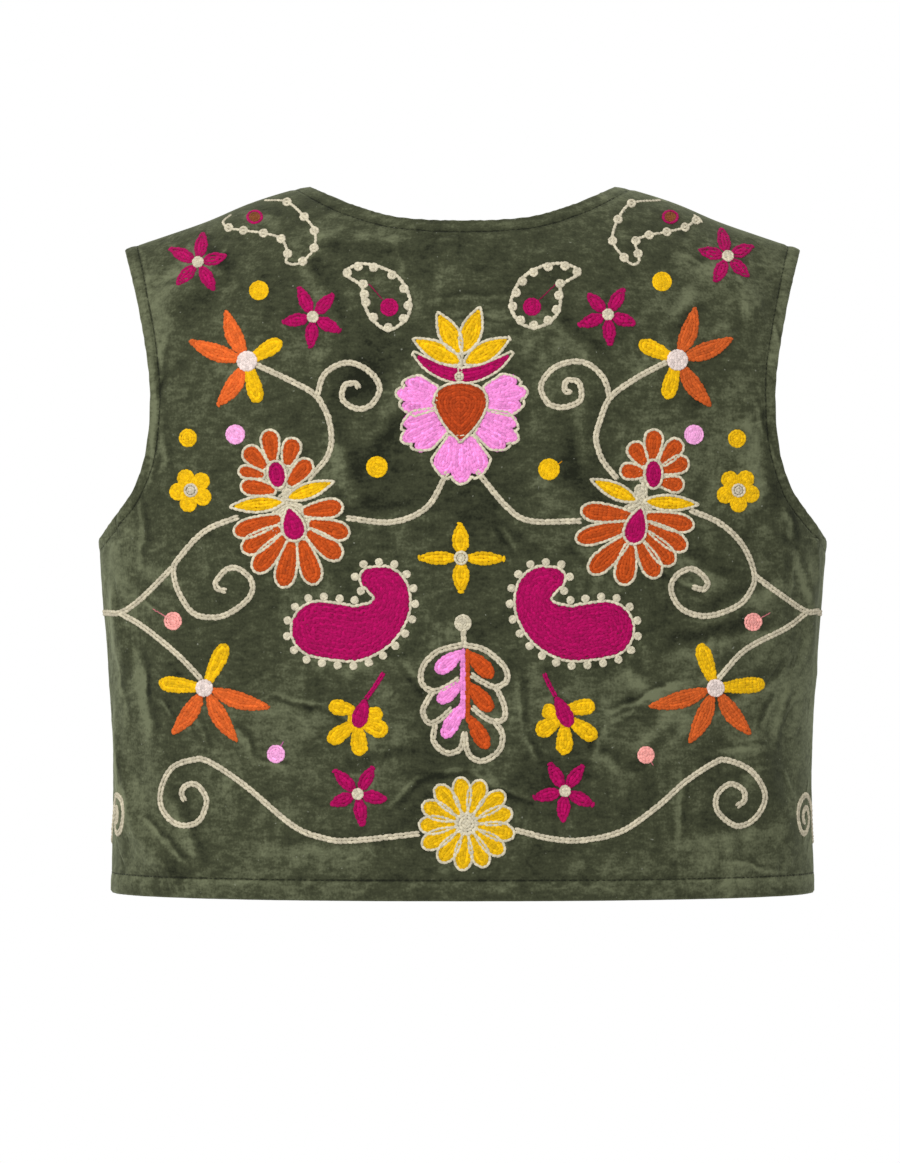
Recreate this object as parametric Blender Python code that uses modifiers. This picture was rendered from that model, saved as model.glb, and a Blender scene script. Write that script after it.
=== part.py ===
"""Embroidered velvet waistcoat, filled out as if worn: a back and two fronts.

Metres, +Z up. The wearer faces +Y, so the back panel faces -Y. The origin is midway
between the shoulders, at the height where the middle of each shoulder carries the cloth.

The cloth follows a body oval at every height. A place on a panel is given by its column,
0 at centre back or centre front and 1 at the side seam and armhole edge, and its height.
Towards the shoulder ridge the depth of the oval closes in an arch.
"""

import math

import bmesh
import bpy
from mathutils import Vector

MM = 0.001

# Driving sizes
CLOTH_THICKNESS = 1.8 * MM
SEAM_GAP = 0.3 * MM
HEM_HEIGHT = -403 * MM
UNDERARM_HEIGHT = -192 * MM
SHOULDER_TIP_HEIGHT = -18 * MM
NECK_POINT_HEIGHT = 19.5 * MM
NECK_HALF_WIDTH = 91 * MM
BACK_NECK_HEIGHT = -4.5 * MM
FRONT_NECK_HEIGHT = -150 * MM
FRONT_NECK_CURVE = 1.15
ARCH_HEIGHT = 110 * MM
EDGE_STRIP = 3 * MM
FRONT_OPENING_AT_NECK = 4 * MM
FRONT_OPENING_AT_HEM = 12 * MM
FRONT_CORNER_RADIUS = 30 * MM
OVAL_POWER = 2.2
QUARTER_GIRTH = 264 * MM

# Body oval at each height, in mm
OVAL_SECTIONS = (
    # height, half_width, back_depth, front_depth
    (-403, 210.5, 112, 108),
    (-325, 209.3, 112, 112),
    (-265, 212.5, 112, 117),
    (-192, 218.0, 112, 118),
    (-113, 221.0, 110, 112),
    (-60, 222.0, 103, 102),
    (0, 223.0, 90, 88),
    (40, 223.0, 80, 78),
)

# Armhole edge, front and back alike, in mm
ARMHOLE_EDGE = (
    # height, distance from the middle
    (-192, 218.0),
    (-190, 216.0),
    (-185, 212.0),
    (-178, 206.0),
    (-163, 195.0),
    (-142, 187.5),
    (-113, 184.5),
    (-90, 186.0),
    (-62, 191.0),
    (-35, 197.5),
    (-18, 202.5),
)

# Shoulder ridge, carried on over the open neck, in mm
SHOULDER_RIDGE = (
    # distance from the middle, height
    (0, 38.0),
    (45, 30.0),
    (91, 19.5),
    (104, 17.0),
    (128, 9.3),
    (152, -0.9),
    (176, -9.3),
    (202.5, -18.0),
)

# Back neck edge, as a share of its drop from the neck points
BACK_NECK_EDGE = (
    # distance from the middle in mm, share of the drop
    (0, 1.0),
    (20, 0.98),
    (43, 0.86),
    (67, 0.52),
    (79, 0.28),
    (87, 0.10),
    (91, 0.0),
)

# Largest folds, in mm: both ends, measured across the cloth from the panel's middle line,
# and the half width and depth of the ridge, which is a trough where the depth is negative
BACK_FOLDS = (
    # across_1, height_1, across_2, height_2, half_width, depth
    (-216, -222, -205, -268, 12, 2.6),
    (-205, -352, -150, -392, 12, 3.2),
    (-232, -300, -214, -372, 13, 2.2),
    (206, -214, 222, -262, 13, 2.4),
    (150, -305, 196, -372, 14, 2.6),
    (-12, -322, 70, -338, 11, -2.6),
    (30, -150, 62, -196, 11, 2.2),
    (-60, -150, -30, -92, 12, -2.2),
    (-150, -60, -112, -30, 11, 2.4),
    (150, -62, 118, -30, 11, 2.4),
    (-120, -285, -60, -312, 12, 2.2),
    (100, -300, 62, -262, 12, -2.2),
)
FRONT_FOLDS = (
    # across_1, height_1, across_2, height_2, half_width, depth
    (216, -218, 200, -268, 13, 2.4),
    (205, -350, 160, -388, 12, 2.8),
    (60, -250, 96, -330, 14, 2.4),
    (150, -60, 122, -38, 11, 2.2),
)
FOLD_FADE = 14 * MM

# Grid of a panel. The rows are set along the outer edge and spread evenly on the others.
NECK_COLUMNS = 8
SHOULDER_COLUMNS = 10
CENTRE_CROWDING = {"back": 1.0, "front": 1.5}
EDGE_ROWS = (
    # lowest, highest in mm, rows between them
    (-403, -204, 12),
    (-204, -192, 2),
    (-192, -162, 7),
    (-162, -112, 4),
)
ARCH_ROWS = 10

VELVET_COLOUR = (0.047, 0.056, 0.028, 1.0)
VELVET_ROUGHNESS = 0.9


def between(table, place, column=1):
    """Smooth value of one column of a table at a place of its first column."""
    last = len(table) - 1
    place = min(max(place, table[0][0]), table[last][0])
    index = max(k for k in range(last) if table[k][0] <= place)
    slopes = []
    for k in (index, index + 1):
        before = table[max(k - 1, 0)]
        after = table[min(k + 1, last)]
        slopes.append((after[column] - before[column]) / (after[0] - before[0]))
    low = table[index]
    high = table[index + 1]
    span = high[0] - low[0]
    s = (place - low[0]) / span
    return (
        (1 + 2 * s) * (1 - s) ** 2 * low[column]
        + s * (1 - s) ** 2 * span * slopes[0]
        + s * s * (3 - 2 * s) * high[column]
        + s * s * (s - 1) * span * slopes[1]
    )


def smooth_step(value):
    value = min(max(value, 0.0), 1.0)
    return value * value * (3 - 2 * value)


def half_width(height):
    return between(OVAL_SECTIONS, height / MM) * MM


def half_depth(height, panel):
    return between(OVAL_SECTIONS, height / MM, 2 if panel == "back" else 3) * MM


def angle_at(share):
    """Angle round the oval at a share of its half width."""
    return math.asin(min(share, 1.0) ** (OVAL_POWER / 2))


def flat_angle():
    """Angle past which the oval runs straight, front to back, on both sides of the seam."""
    depth = OVAL_SECTIONS[0][2] * MM
    return math.pi / 2 - (EDGE_STRIP / depth) ** (OVAL_POWER / 2)


def width_share(angle):
    turned = min(abs(angle), flat_angle())
    return math.copysign(math.sin(turned) ** (2 / OVAL_POWER), angle)


def depth_share(angle):
    return max(math.cos(angle), 0.0) ** (2 / OVAL_POWER)


def edge_angle(height):
    """Angle of the panel's outer edge: the side seam, then the armhole."""
    if height <= UNDERARM_HEIGHT:
        return math.pi / 2
    height = min(height, SHOULDER_TIP_HEIGHT)
    return angle_at(between(ARMHOLE_EDGE, height / MM) * MM / half_width(height))


def middle_angle(height, panel):
    """Angle of the panel's middle: centre back, or the open edge of a front."""
    if panel == "back":
        return 0.0
    rise = (height - HEM_HEIGHT) / (FRONT_NECK_HEIGHT - HEM_HEIGHT)
    opening = FRONT_OPENING_AT_HEM + rise * (FRONT_OPENING_AT_NECK - FRONT_OPENING_AT_HEM)
    opening = max(opening, FRONT_OPENING_AT_NECK)
    return angle_at(opening / 2 / half_width(height))


def cloth_angle(column, height, panel):
    start = middle_angle(height, panel)
    return start + column * (edge_angle(height) - start)


def neck_column():
    """Column that reaches the ridge at the neck point."""
    share = NECK_HALF_WIDTH / half_width(SHOULDER_TIP_HEIGHT)
    return angle_at(share) / edge_angle(SHOULDER_TIP_HEIGHT)


def ridge_distance(column):
    """Distance from the middle at which a column meets the shoulder ridge."""
    angle = abs(column) * edge_angle(SHOULDER_TIP_HEIGHT)
    return half_width(SHOULDER_TIP_HEIGHT) * width_share(angle)


def ridge_height(column):
    return between(SHOULDER_RIDGE, ridge_distance(column) / MM) * MM


def arch_share(column, height):
    """How far the depth has opened under the shoulder ridge, 0 to 1."""
    below = (ridge_height(column) - height) / ARCH_HEIGHT
    return math.sqrt(1 - (1 - min(max(below, 0.0), 1.0)) ** 2)


def oval_point(column, height, panel):
    """Point of the cloth before its folds."""
    angle = cloth_angle(column, height, panel)
    x = half_width(height) * width_share(angle)
    y = half_depth(height, panel) * depth_share(angle) * arch_share(column, height)
    return Vector((x, -y if panel == "back" else y, height))


def oval_normal(column, height, panel):
    """Outward direction of the cloth before its folds."""
    reach = 0.01
    left = oval_point(max(column - reach, -1.0), height, panel)
    right = oval_point(min(column + reach, 1.0), height, panel)
    low = oval_point(column, height - 0.5 * MM, panel)
    high = oval_point(column, height + 0.5 * MM, panel)
    normal = (right - left).cross(high - low).normalized()
    return normal if panel == "back" else -normal


def fold_depth(folds, across, height):
    """Sum of the folds at a place: each is a soft ridge that fades towards its ends."""
    total = 0.0
    for across_1, height_1, across_2, height_2, width, depth in folds:
        run = Vector((across_2 - across_1, height_2 - height_1))
        place = Vector((across / MM - across_1, height / MM - height_1))
        along = place.dot(run) / run.length_squared
        aside = (run.x * place.y - run.y * place.x) / run.length
        end_fade = smooth_step(1.75 - 2.5 * abs(along - 0.5))
        total += depth * MM * end_fade * math.exp(-((aside / width) ** 2))
    return total


def cloth_point(column, height, top, panel):
    """Point of the folded cloth. Folds fade at the seams, so that the seams stay closed."""
    point = oval_point(column, height, panel)
    across = cloth_angle(column, height, panel) / (math.pi / 2) * QUARTER_GIRTH
    folds = BACK_FOLDS if panel == "back" else FRONT_FOLDS
    side_fade = smooth_step((1 - abs(column)) * QUARTER_GIRTH / FOLD_FADE)
    top_fade = smooth_step((top - height) / FOLD_FADE)
    depth = fold_depth(folds, across, height) * side_fade * top_fade
    point += depth * oval_normal(column, height, panel)
    half_gap = SEAM_GAP / 2
    point.y = min(point.y, -half_gap) if panel == "back" else max(point.y, half_gap)
    return point


def hem_height(column, panel):
    """The hem is level, with a rounded corner at the open edge of a front."""
    if panel == "back":
        return HEM_HEIGHT
    open_edge = oval_point(0.0, HEM_HEIGHT, panel).x
    aside = oval_point(column, HEM_HEIGHT, panel).x - open_edge
    inward = max(FRONT_CORNER_RADIUS - aside, 0.0)
    rise = FRONT_CORNER_RADIUS - math.sqrt(FRONT_CORNER_RADIUS**2 - inward**2)
    return HEM_HEIGHT + rise


def top_height(column, panel):
    """Upper edge of a panel: the neck edge, then the shoulder ridge."""
    distance = ridge_distance(column)
    if abs(column) > neck_column() - 0.001:
        return ridge_height(column)
    if panel == "back":
        drop = between(BACK_NECK_EDGE, distance / MM)
        return NECK_POINT_HEIGHT - drop * (NECK_POINT_HEIGHT - BACK_NECK_HEIGHT)
    drop = (1 - distance / NECK_HALF_WIDTH) ** FRONT_NECK_CURVE
    return NECK_POINT_HEIGHT - drop * (NECK_POINT_HEIGHT - FRONT_NECK_HEIGHT)


def strip_height(column, top, panel):
    """Height of the last row but one, which leaves a narrow strip along the upper edge."""
    if abs(column) <= neck_column() - 0.001:
        return top - EDGE_STRIP
    angle = cloth_angle(column, top, panel)
    open_share = EDGE_STRIP / (half_depth(top, panel) * depth_share(angle))
    return top - ARCH_HEIGHT * (1 - math.sqrt(1 - open_share**2))


def row_shares():
    """Shares of the way up the outer edge, 0 at the hem and 1 at the edge strip."""
    heights = [HEM_HEIGHT]
    for lowest, highest, rows in EDGE_ROWS:
        for k in range(1, rows + 1):
            heights.append((lowest + (highest - lowest) * k / rows) * MM)
    below = (SHOULDER_TIP_HEIGHT - heights[-1]) / ARCH_HEIGHT
    for k in range(1, ARCH_ROWS + 1):
        angle = math.acos(1 - below) * (1 - k / ARCH_ROWS)
        heights.append(SHOULDER_TIP_HEIGHT - ARCH_HEIGHT * (1 - math.cos(angle)))
    return [(height - HEM_HEIGHT) / (heights[-1] - HEM_HEIGHT) for height in heights]


def columns_of(panel):
    """Columns of a panel, closer together towards the open edge of a front."""
    corner = neck_column()
    columns = []
    for k in range(NECK_COLUMNS + 1):
        columns.append(corner * (k / NECK_COLUMNS) ** CENTRE_CROWDING[panel])
    for k in range(1, SHOULDER_COLUMNS):
        columns.append(corner + (1 - corner) * k / SHOULDER_COLUMNS)
    columns += [flat_angle() / (math.pi / 2), 1.0]
    if panel == "back":
        columns = [-column for column in reversed(columns[1:])] + columns
    return columns


def column_points(column, panel, shares):
    """Points of one column from the hem to the upper edge, with the flat strip on top."""
    hem = hem_height(column, panel)
    top = top_height(column, panel)
    strip = strip_height(column, top, panel)
    heights = [hem + share * (strip - hem) for share in shares]
    points = [cloth_point(column, height, top, panel) for height in heights]
    last = cloth_point(column, top, top, panel)
    if abs(column) > neck_column() - 0.001:
        last.z = points[-1].z
        last.x = points[-1].x
    return points + [last]


def build_panel(name, panel, side, material, collection):
    """One piece of cloth: a lofted sheet of its outer face, made a wall by Solidify."""
    shares = row_shares()
    sheet = bmesh.new()
    grid = []
    for column in columns_of(panel):
        points = column_points(column, panel, shares)
        for point in points:
            point.x *= side
        grid.append([sheet.verts.new(point) for point in points])
    for left, right in zip(grid, grid[1:]):
        for row in range(len(left) - 1):
            corners = (left[row], right[row], right[row + 1], left[row + 1])
            outward = side if panel == "back" else -side
            sheet.faces.new(corners if outward > 0 else corners[::-1])
    for face in sheet.faces:
        face.smooth = True
    mesh = bpy.data.meshes.new(name)
    sheet.to_mesh(mesh)
    sheet.free()
    mesh.materials.append(material)
    cloth = bpy.data.objects.new(name, mesh)
    collection.objects.link(cloth)
    wall = cloth.modifiers.new("cloth thickness", "SOLIDIFY")
    wall.thickness = CLOTH_THICKNESS
    wall.offset = -1.0
    return cloth


def velvet(name):
    material = bpy.data.materials.new(name)
    material.use_nodes = True
    shader = material.node_tree.nodes["Principled BSDF"]
    shader.inputs["Base Color"].default_value = VELVET_COLOUR
    shader.inputs["Roughness"].default_value = VELVET_ROUGHNESS
    shader.inputs["Metallic"].default_value = 0.0
    return material


def clear_scene():
    for old in list(bpy.data.objects):
        bpy.data.objects.remove(old, do_unlink=True)


def build():
    clear_scene()
    waistcoat = bpy.data.collections.new("embroidered_waistcoat")
    bpy.context.scene.collection.children.link(waistcoat)
    build_panel("back", "back", 1, velvet("back velvet"), waistcoat)
    build_panel("front_left", "front", -1, velvet("left front velvet"), waistcoat)
    build_panel("front_right", "front", 1, velvet("right front velvet"), waistcoat)


build()
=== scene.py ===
import math

import bpy
import numpy as np
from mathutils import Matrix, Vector
from mathutils.bvhtree import BVHTree
from mathutils.kdtree import KDTree


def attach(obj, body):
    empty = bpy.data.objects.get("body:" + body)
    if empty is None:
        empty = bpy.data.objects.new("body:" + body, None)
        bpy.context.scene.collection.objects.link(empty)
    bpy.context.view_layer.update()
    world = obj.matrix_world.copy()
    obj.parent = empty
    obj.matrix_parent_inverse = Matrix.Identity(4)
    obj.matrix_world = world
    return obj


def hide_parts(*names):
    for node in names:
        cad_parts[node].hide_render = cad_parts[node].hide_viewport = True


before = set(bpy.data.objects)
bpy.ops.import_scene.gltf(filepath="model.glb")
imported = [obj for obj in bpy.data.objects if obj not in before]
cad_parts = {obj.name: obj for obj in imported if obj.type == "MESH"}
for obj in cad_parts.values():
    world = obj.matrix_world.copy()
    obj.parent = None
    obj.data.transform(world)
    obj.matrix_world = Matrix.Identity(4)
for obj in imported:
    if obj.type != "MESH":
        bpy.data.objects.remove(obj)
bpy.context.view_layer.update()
print("frame loaded:", len(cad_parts), "nodes")

mm = 0.001
chance = np.random.default_rng(14)

# Sizes of the cut in mm, the same as the solids have
cut = {
    "cloth": 1.8, "seamGap": 0.3, "hem": -403.0, "underarm": -192.0, "shoulderTip": -18.0,
    "neckPoint": 19.5, "neckHalf": 91.0, "backNeck": -4.5, "frontNeck": -150.0, "frontNeckCurve": 1.15,
    "arch": 110.0, "strip": 3.0, "openAtNeck": 4.0, "openAtHem": 12.0, "frontCorner": 30.0,
    "ovalPower": 2.2, "quarter": 264.0, "foldFade": 14.0,
}
ovalSections = (  # height, half width, back depth, front depth
    (-403, 210.5, 112, 108), (-325, 209.3, 112, 112), (-265, 212.5, 112, 117), (-192, 218, 112, 118),
    (-113, 221, 110, 112), (-60, 222, 103, 102), (0, 223, 90, 88), (40, 223, 80, 78),
)
armholeEdge = (  # height, distance from the middle
    (-192, 218), (-190, 216), (-185, 212), (-178, 206), (-163, 195), (-142, 187.5),
    (-113, 184.5), (-90, 186), (-62, 191), (-35, 197.5), (-18, 202.5),
)
shoulderRidge = (  # distance from the middle, height
    (0, 38), (45, 30), (91, 19.5), (104, 17), (128, 9.3), (152, -0.9), (176, -9.3), (202.5, -18),
)
backNeckEdge = (  # distance from the middle, share of the drop
    (0, 1), (20, 0.98), (43, 0.86), (67, 0.52), (79, 0.28), (87, 0.10), (91, 0),
)
backFolds = (  # across and height of both ends, half width, depth
    (-216, -222, -205, -268, 12, 2.6), (-205, -352, -150, -392, 12, 3.2),
    (-232, -300, -214, -372, 13, 2.2), (206, -214, 222, -262, 13, 2.4),
    (150, -305, 196, -372, 14, 2.6), (-12, -322, 70, -338, 11, -2.6),
    (30, -150, 62, -196, 11, 2.2), (-60, -150, -30, -92, 12, -2.2),
    (-150, -60, -112, -30, 11, 2.4), (150, -62, 118, -30, 11, 2.4),
    (-120, -285, -60, -312, 12, 2.2), (100, -300, 62, -262, 12, -2.2),
)
frontFolds = (
    (216, -218, 200, -268, 13, 2.4), (205, -350, 160, -388, 12, 2.8),
    (60, -250, 96, -330, 14, 2.4), (150, -60, 122, -38, 11, 2.2),
)
# Finer creases that only the looks have, in the same columns
backCreases = (
    (-214, -225, -196, -262, 3.5, 0.9), (-223, -318, -200, -352, 4, 1.3),
    (-190, -362, -158, -386, 4, 1.4), (-206, -342, -186, -372, 3.5, 1.0),
    (-142, -294, -128, -322, 4, 1.1), (-128, -322, -98, -328, 4, 0.9),
    (-120, -284, -82, -288, 4, -1.1), (-44, -331, 0, -332, 3.5, -1.2),
    (-40, -262, -22, -288, 4, 0.9), (12, -180, 36, -202, 3.5, -1.0),
    (80, -290, 132, -274, 4, 1.2), (74, -324, 100, -296, 4, 1.0),
    (30, -268, 46, -324, 4.5, 0.9), (174, -316, 190, -280, 3.5, 1.2),
    (144, -314, 190, -316, 5, 0.8), (208, -170, 226, -224, 4, 1.2),
    (112, -212, 150, -224, 4, -0.9), (150, -236, 190, -248, 4, 0.8),
    (-6, -56, 12, -64, 4, -0.9), (-60, -16, -10, -22, 4, 0.9),
    (20, -30, 72, -18, 4.5, 0.8), (-150, -130, -110, -128, 5, 0.7),
    (-186, -150, -196, -190, 4.5, 1.0), (-206, -60, -176, -36, 4, 0.8),
    (178, -28, 206, -66, 4, 0.9), (-70, -210, -40, -236, 5, 0.7),
    (-20, -110, -34, -140, 5, 0.7), (40, -100, 44, -134, 5, 0.6),
    (120, -380, 182, -388, 4.5, 0.8), (-110, -392, -30, -388, 5, 0.5),
    (40, -386, 96, -392, 5, 0.6), (100, -130, 128, -150, 5, 0.7),
)
frontCreases = (
    (208, -206, 224, -250, 4, 1.0), (196, -330, 216, -366, 4, 1.1),
    (150, -372, 188, -388, 4, 1.1), (110, -300, 140, -280, 4, 0.9),
    (40, -340, 80, -352, 5, 0.8), (20, -210, 60, -222, 4, -0.9),
    (120, -120, 160, -132, 5, 0.8), (90, -60, 108, -90, 4, 0.8),
    (176, -40, 196, -70, 4, 0.9), (30, -280, 52, -312, 5, 0.8),
    (140, -206, 176, -226, 5, 0.8), (60, -150, 92, -160, 4.5, 0.7),
)
# Finished edges: how far in the topstitching lies and how much the turned strip puffs out
finish = {
    "hem": {"inset": 12.0, "puff": 0.3}, "neck": {"inset": 9.5, "puff": 0.25},
    "armhole": {"inset": 7.8, "puff": 0.3}, "opening": {"inset": 8.0, "puff": 0.3},
}
groove = {
    "depth": 0.28, "half": 1.4, "pucker": 0.1, "puckerLength": 7.0, "puckerReach": 6.0,
    "seamDip": 0.7, "seamHalf": 2.2, "rollDepth": 0.9, "rollReach": 1.3,
}
swellings = ((0.34, 52, 3), (0.13, 14, 5))  # depth, size and random seed of the cloth's uneven swelling


def between(table, place, column=1):
    # smooth value of one column of a table, at places along its first column
    rows = np.array(table, float)
    known = rows[:, 0]
    value = rows[:, column]
    place = np.clip(place, known[0], known[-1])
    slopes = np.empty(len(known))
    slopes[1:-1] = (value[2:] - value[:-2]) / (known[2:] - known[:-2])
    slopes[0] = (value[1] - value[0]) / (known[1] - known[0])
    slopes[-1] = (value[-1] - value[-2]) / (known[-1] - known[-2])
    low = np.clip(np.searchsorted(known, place, side="right") - 1, 0, len(known) - 2)
    span = known[low + 1] - known[low]
    s = (place - known[low]) / span
    start = (1 + 2 * s) * (1 - s) ** 2 * value[low] + s * (1 - s) ** 2 * span * slopes[low]
    end = s * s * (3 - 2 * s) * value[low + 1] + s * s * (s - 1) * span * slopes[low + 1]
    return start + end


def smoothStep(value):
    value = np.clip(value, 0, 1)
    return value * value * (3 - 2 * value)


def unit(vectors):
    return vectors / (np.linalg.norm(vectors, axis=-1, keepdims=True) + 1e-9)


def lengthsAlong(points):
    return np.concatenate([[0], np.cumsum(np.linalg.norm(np.diff(points, axis=0), axis=1))])


def halfWidth(height):
    return between(ovalSections, height)


def halfDepth(height, isBack):
    return between(ovalSections, height, 2 if isBack else 3)


def angleAt(share):
    return np.arcsin(np.clip(share, 0, 1) ** (cut["ovalPower"] / 2))


flatAngle = math.pi / 2 - (cut["strip"] / ovalSections[0][2]) ** (cut["ovalPower"] / 2)


def widthShare(angle):
    turned = np.minimum(np.abs(angle), flatAngle)
    return np.sign(angle) * np.sin(turned) ** (2 / cut["ovalPower"])


def depthShare(angle):
    return np.maximum(np.cos(angle), 0) ** (2 / cut["ovalPower"])


def edgeAngle(height):
    # the outer edge of a panel: side seam, then armhole
    capped = np.minimum(height, cut["shoulderTip"])
    armhole = angleAt(between(armholeEdge, capped) / halfWidth(capped))
    return np.where(height <= cut["underarm"], math.pi / 2, armhole)


def middleAngle(height, isBack):
    if isBack:
        return np.zeros_like(height)
    rise = (height - cut["hem"]) / (cut["frontNeck"] - cut["hem"])
    opening = cut["openAtHem"] + rise * (cut["openAtNeck"] - cut["openAtHem"])
    return angleAt(np.maximum(opening, cut["openAtNeck"]) / 2 / halfWidth(height))


def clothAngle(column, height, isBack):
    start = middleAngle(height, isBack)
    return start + column * (edgeAngle(height) - start)


tipWidth = float(halfWidth(cut["shoulderTip"]))
tipAngle = float(edgeAngle(np.float64(cut["shoulderTip"])))
neckColumn = float(angleAt(cut["neckHalf"] / tipWidth)) / tipAngle


def ridgeDistance(column):
    return tipWidth * widthShare(np.abs(column) * tipAngle)


def ridgeHeight(column):
    return between(shoulderRidge, ridgeDistance(column))


def archShare(column, height):
    below = np.clip((ridgeHeight(column) - height) / cut["arch"], 0, 1)
    return np.sqrt(1 - (1 - below) ** 2)


def ovalPoint(column, height, isBack):
    angle = clothAngle(column, height, isBack)
    x = halfWidth(height) * widthShare(angle)
    y = halfDepth(height, isBack) * depthShare(angle) * archShare(column, height)
    return np.stack([x, -y if isBack else y, height], axis=-1)


def ovalNormal(column, height, isBack):
    reach = 0.01
    across = ovalPoint(np.minimum(column + reach, 1), height, isBack)
    across = across - ovalPoint(np.maximum(column - reach, -1), height, isBack)
    up = ovalPoint(column, height + 0.5, isBack) - ovalPoint(column, height - 0.5, isBack)
    normal = unit(np.cross(across, up))
    return normal if isBack else -normal


def foldDepth(folds, across, height):
    # sum of soft ridges, each fading towards its ends
    total = np.zeros_like(across)
    for across1, height1, across2, height2, width, depth in folds:
        runX = across2 - across1
        runZ = height2 - height1
        length2 = runX * runX + runZ * runZ
        along = ((across - across1) * runX + (height - height1) * runZ) / length2
        aside = (runX * (height - height1) - runZ * (across - across1)) / math.sqrt(length2)
        endFade = smoothStep(1.75 - 2.5 * np.abs(along - 0.5))
        total += depth * endFade * np.exp(-((aside / width) ** 2))
    return total


def hemHeight(column, isBack):
    level = np.full_like(column, cut["hem"])
    if isBack:
        return level
    aside = ovalPoint(column, level, False)[..., 0]
    aside = aside - ovalPoint(np.zeros_like(column), level, False)[..., 0]
    radius = cut["frontCorner"]
    inward = np.maximum(radius - aside, 0)
    return cut["hem"] + radius - np.sqrt(radius * radius - inward * inward)


def topHeight(column, isBack):
    distance = ridgeDistance(column)
    if isBack:
        drop = between(backNeckEdge, distance)
        neck = cut["neckPoint"] - drop * (cut["neckPoint"] - cut["backNeck"])
    else:
        drop = np.maximum(1 - distance / cut["neckHalf"], 0) ** cut["frontNeckCurve"]
        neck = cut["neckPoint"] - drop * (cut["neckPoint"] - cut["frontNeck"])
    return np.where(np.abs(column) > neckColumn - 0.001, ridgeHeight(column), neck)


def rippleNoise(across, height, size, seed):
    # smooth uneven swelling of the cloth, made of a few crossing waves
    turns = np.random.default_rng(seed)
    total = np.zeros_like(across)
    for k in range(9):
        heading = turns.uniform(0, math.pi)
        wave = 2 * math.pi / (size * turns.uniform(0.6, 1.6))
        phase = turns.uniform(0, 2 * math.pi)
        total += np.sin((across * math.cos(heading) + height * math.sin(heading)) * wave + phase)
    return total / 3


# Grid of a panel in columns and rows
grid = {"neckColumns": 44, "sideColumns": 46, "edgeColumns": 9, "edgeStrip": 0.045, "frontCrowding": 1.3}
edgeRows = ((-403, -386, 14), (-386, -208, 52), (-208, -190, 10), (-190, -162, 18), (-162, -112, 16))
archRows = 34


def columnsOf(isBack):
    # places across a panel, closer together by its outer edge
    crowding = 1.0 if isBack else grid["frontCrowding"]
    count = grid["neckColumns"]
    columns = [neckColumn * (k / count) ** crowding for k in range(count + 1)]
    stripStart = 1 - grid["edgeStrip"]
    for start, end, count in (
        (neckColumn, stripStart, grid["sideColumns"]), (stripStart, 1, grid["edgeColumns"]),
    ):
        columns += [start + (end - start) * k / count for k in range(1, count + 1)]
    if isBack:
        columns = [-column for column in reversed(columns[1:])] + columns
    return np.array(columns)


def rowShares():
    heights = [float(cut["hem"])]
    for lowest, highest, count in edgeRows:
        heights += [lowest + (highest - lowest) * k / count for k in range(1, count + 1)]
    below = (cut["shoulderTip"] - heights[-1]) / cut["arch"]
    for k in range(1, archRows + 1):
        angle = math.acos(1 - below) * (1 - k / archRows)
        heights.append(cut["shoulderTip"] - cut["arch"] * (1 - math.cos(angle)))
    heights = np.array(heights)
    return (heights - cut["hem"]) / (heights[-1] - cut["hem"])


def searchTree(lines, step):
    # a search tree of points spread along some lines
    fine = np.vstack([evenPoints(line, step) for line in lines if len(line) > 1])
    tree = KDTree(len(fine))
    for k, place in enumerate(fine):
        tree.insert(place, k)
    tree.balance()
    return tree


def boundaryTrees(points, isBack):
    # search trees of each finished edge and of the seams, from the points of a panel's grid
    top = points[:, -1]
    column = columnsOf(isBack)
    armhole = points[-1, :, 2] >= cut["underarm"] - 0.5
    neck = np.abs(column) <= neckColumn + 1e-6
    edges = {"hem": [points[:, 0]], "neck": [top[neck]], "armhole": [points[-1, armhole]]}
    edges["seam"] = [points[-1, ~armhole], top[column >= neckColumn - 1e-6]]
    if isBack:
        edges["armhole"].append(points[0, armhole])
        edges["seam"] += [points[0, ~armhole], top[column <= -neckColumn + 1e-6]]
    else:
        edges["opening"] = [points[0]]
    return {name: searchTree(lines, 1.0) for name, lines in edges.items()}


def evenPoints(points, step, closed=False):
    # points spread evenly along a line
    points = np.asarray(points, float)
    if closed:
        points = np.vstack([points, points[:1]])
    lengths = lengthsAlong(points)
    count = max(1, int(round(lengths[-1] / step)))
    places = np.linspace(0, lengths[-1], count + 1)
    if closed:
        places = places[:-1]
    return np.column_stack([np.interp(places, lengths, points[:, k]) for k in range(points.shape[1])])


def distancesTo(tree, points):
    flat = points.reshape(-1, 3)
    found = np.array([tree.find(place)[2] for place in flat])
    return found.reshape(points.shape[:-1])


def edgeRelief(across, height, fields):
    # the turned edges puff out and roll under, and the stitch lines and seams are pulled in
    relief = np.zeros_like(across)
    for name, edge in finish.items():
        if name not in fields:
            continue
        away = fields[name]
        share = np.clip(away / edge["inset"], 0, 1)
        fromLine = away - edge["inset"]
        pucker = groove["pucker"] * rippleNoise(across, height, groove["puckerLength"], 11)
        relief += edge["puff"] * np.sin(math.pi * share) ** 0.7 * (share < 1)
        relief -= groove["depth"] * np.exp(-((fromLine / groove["half"]) ** 2))
        relief += pucker * np.exp(-((fromLine / groove["puckerReach"]) ** 2))
        relief -= groove["rollDepth"] * np.clip(1 - away / groove["rollReach"], 0, 1) ** 2
    return relief - groove["seamDip"] * np.exp(-((fields["seam"] / groove["seamHalf"]) ** 2))


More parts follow.
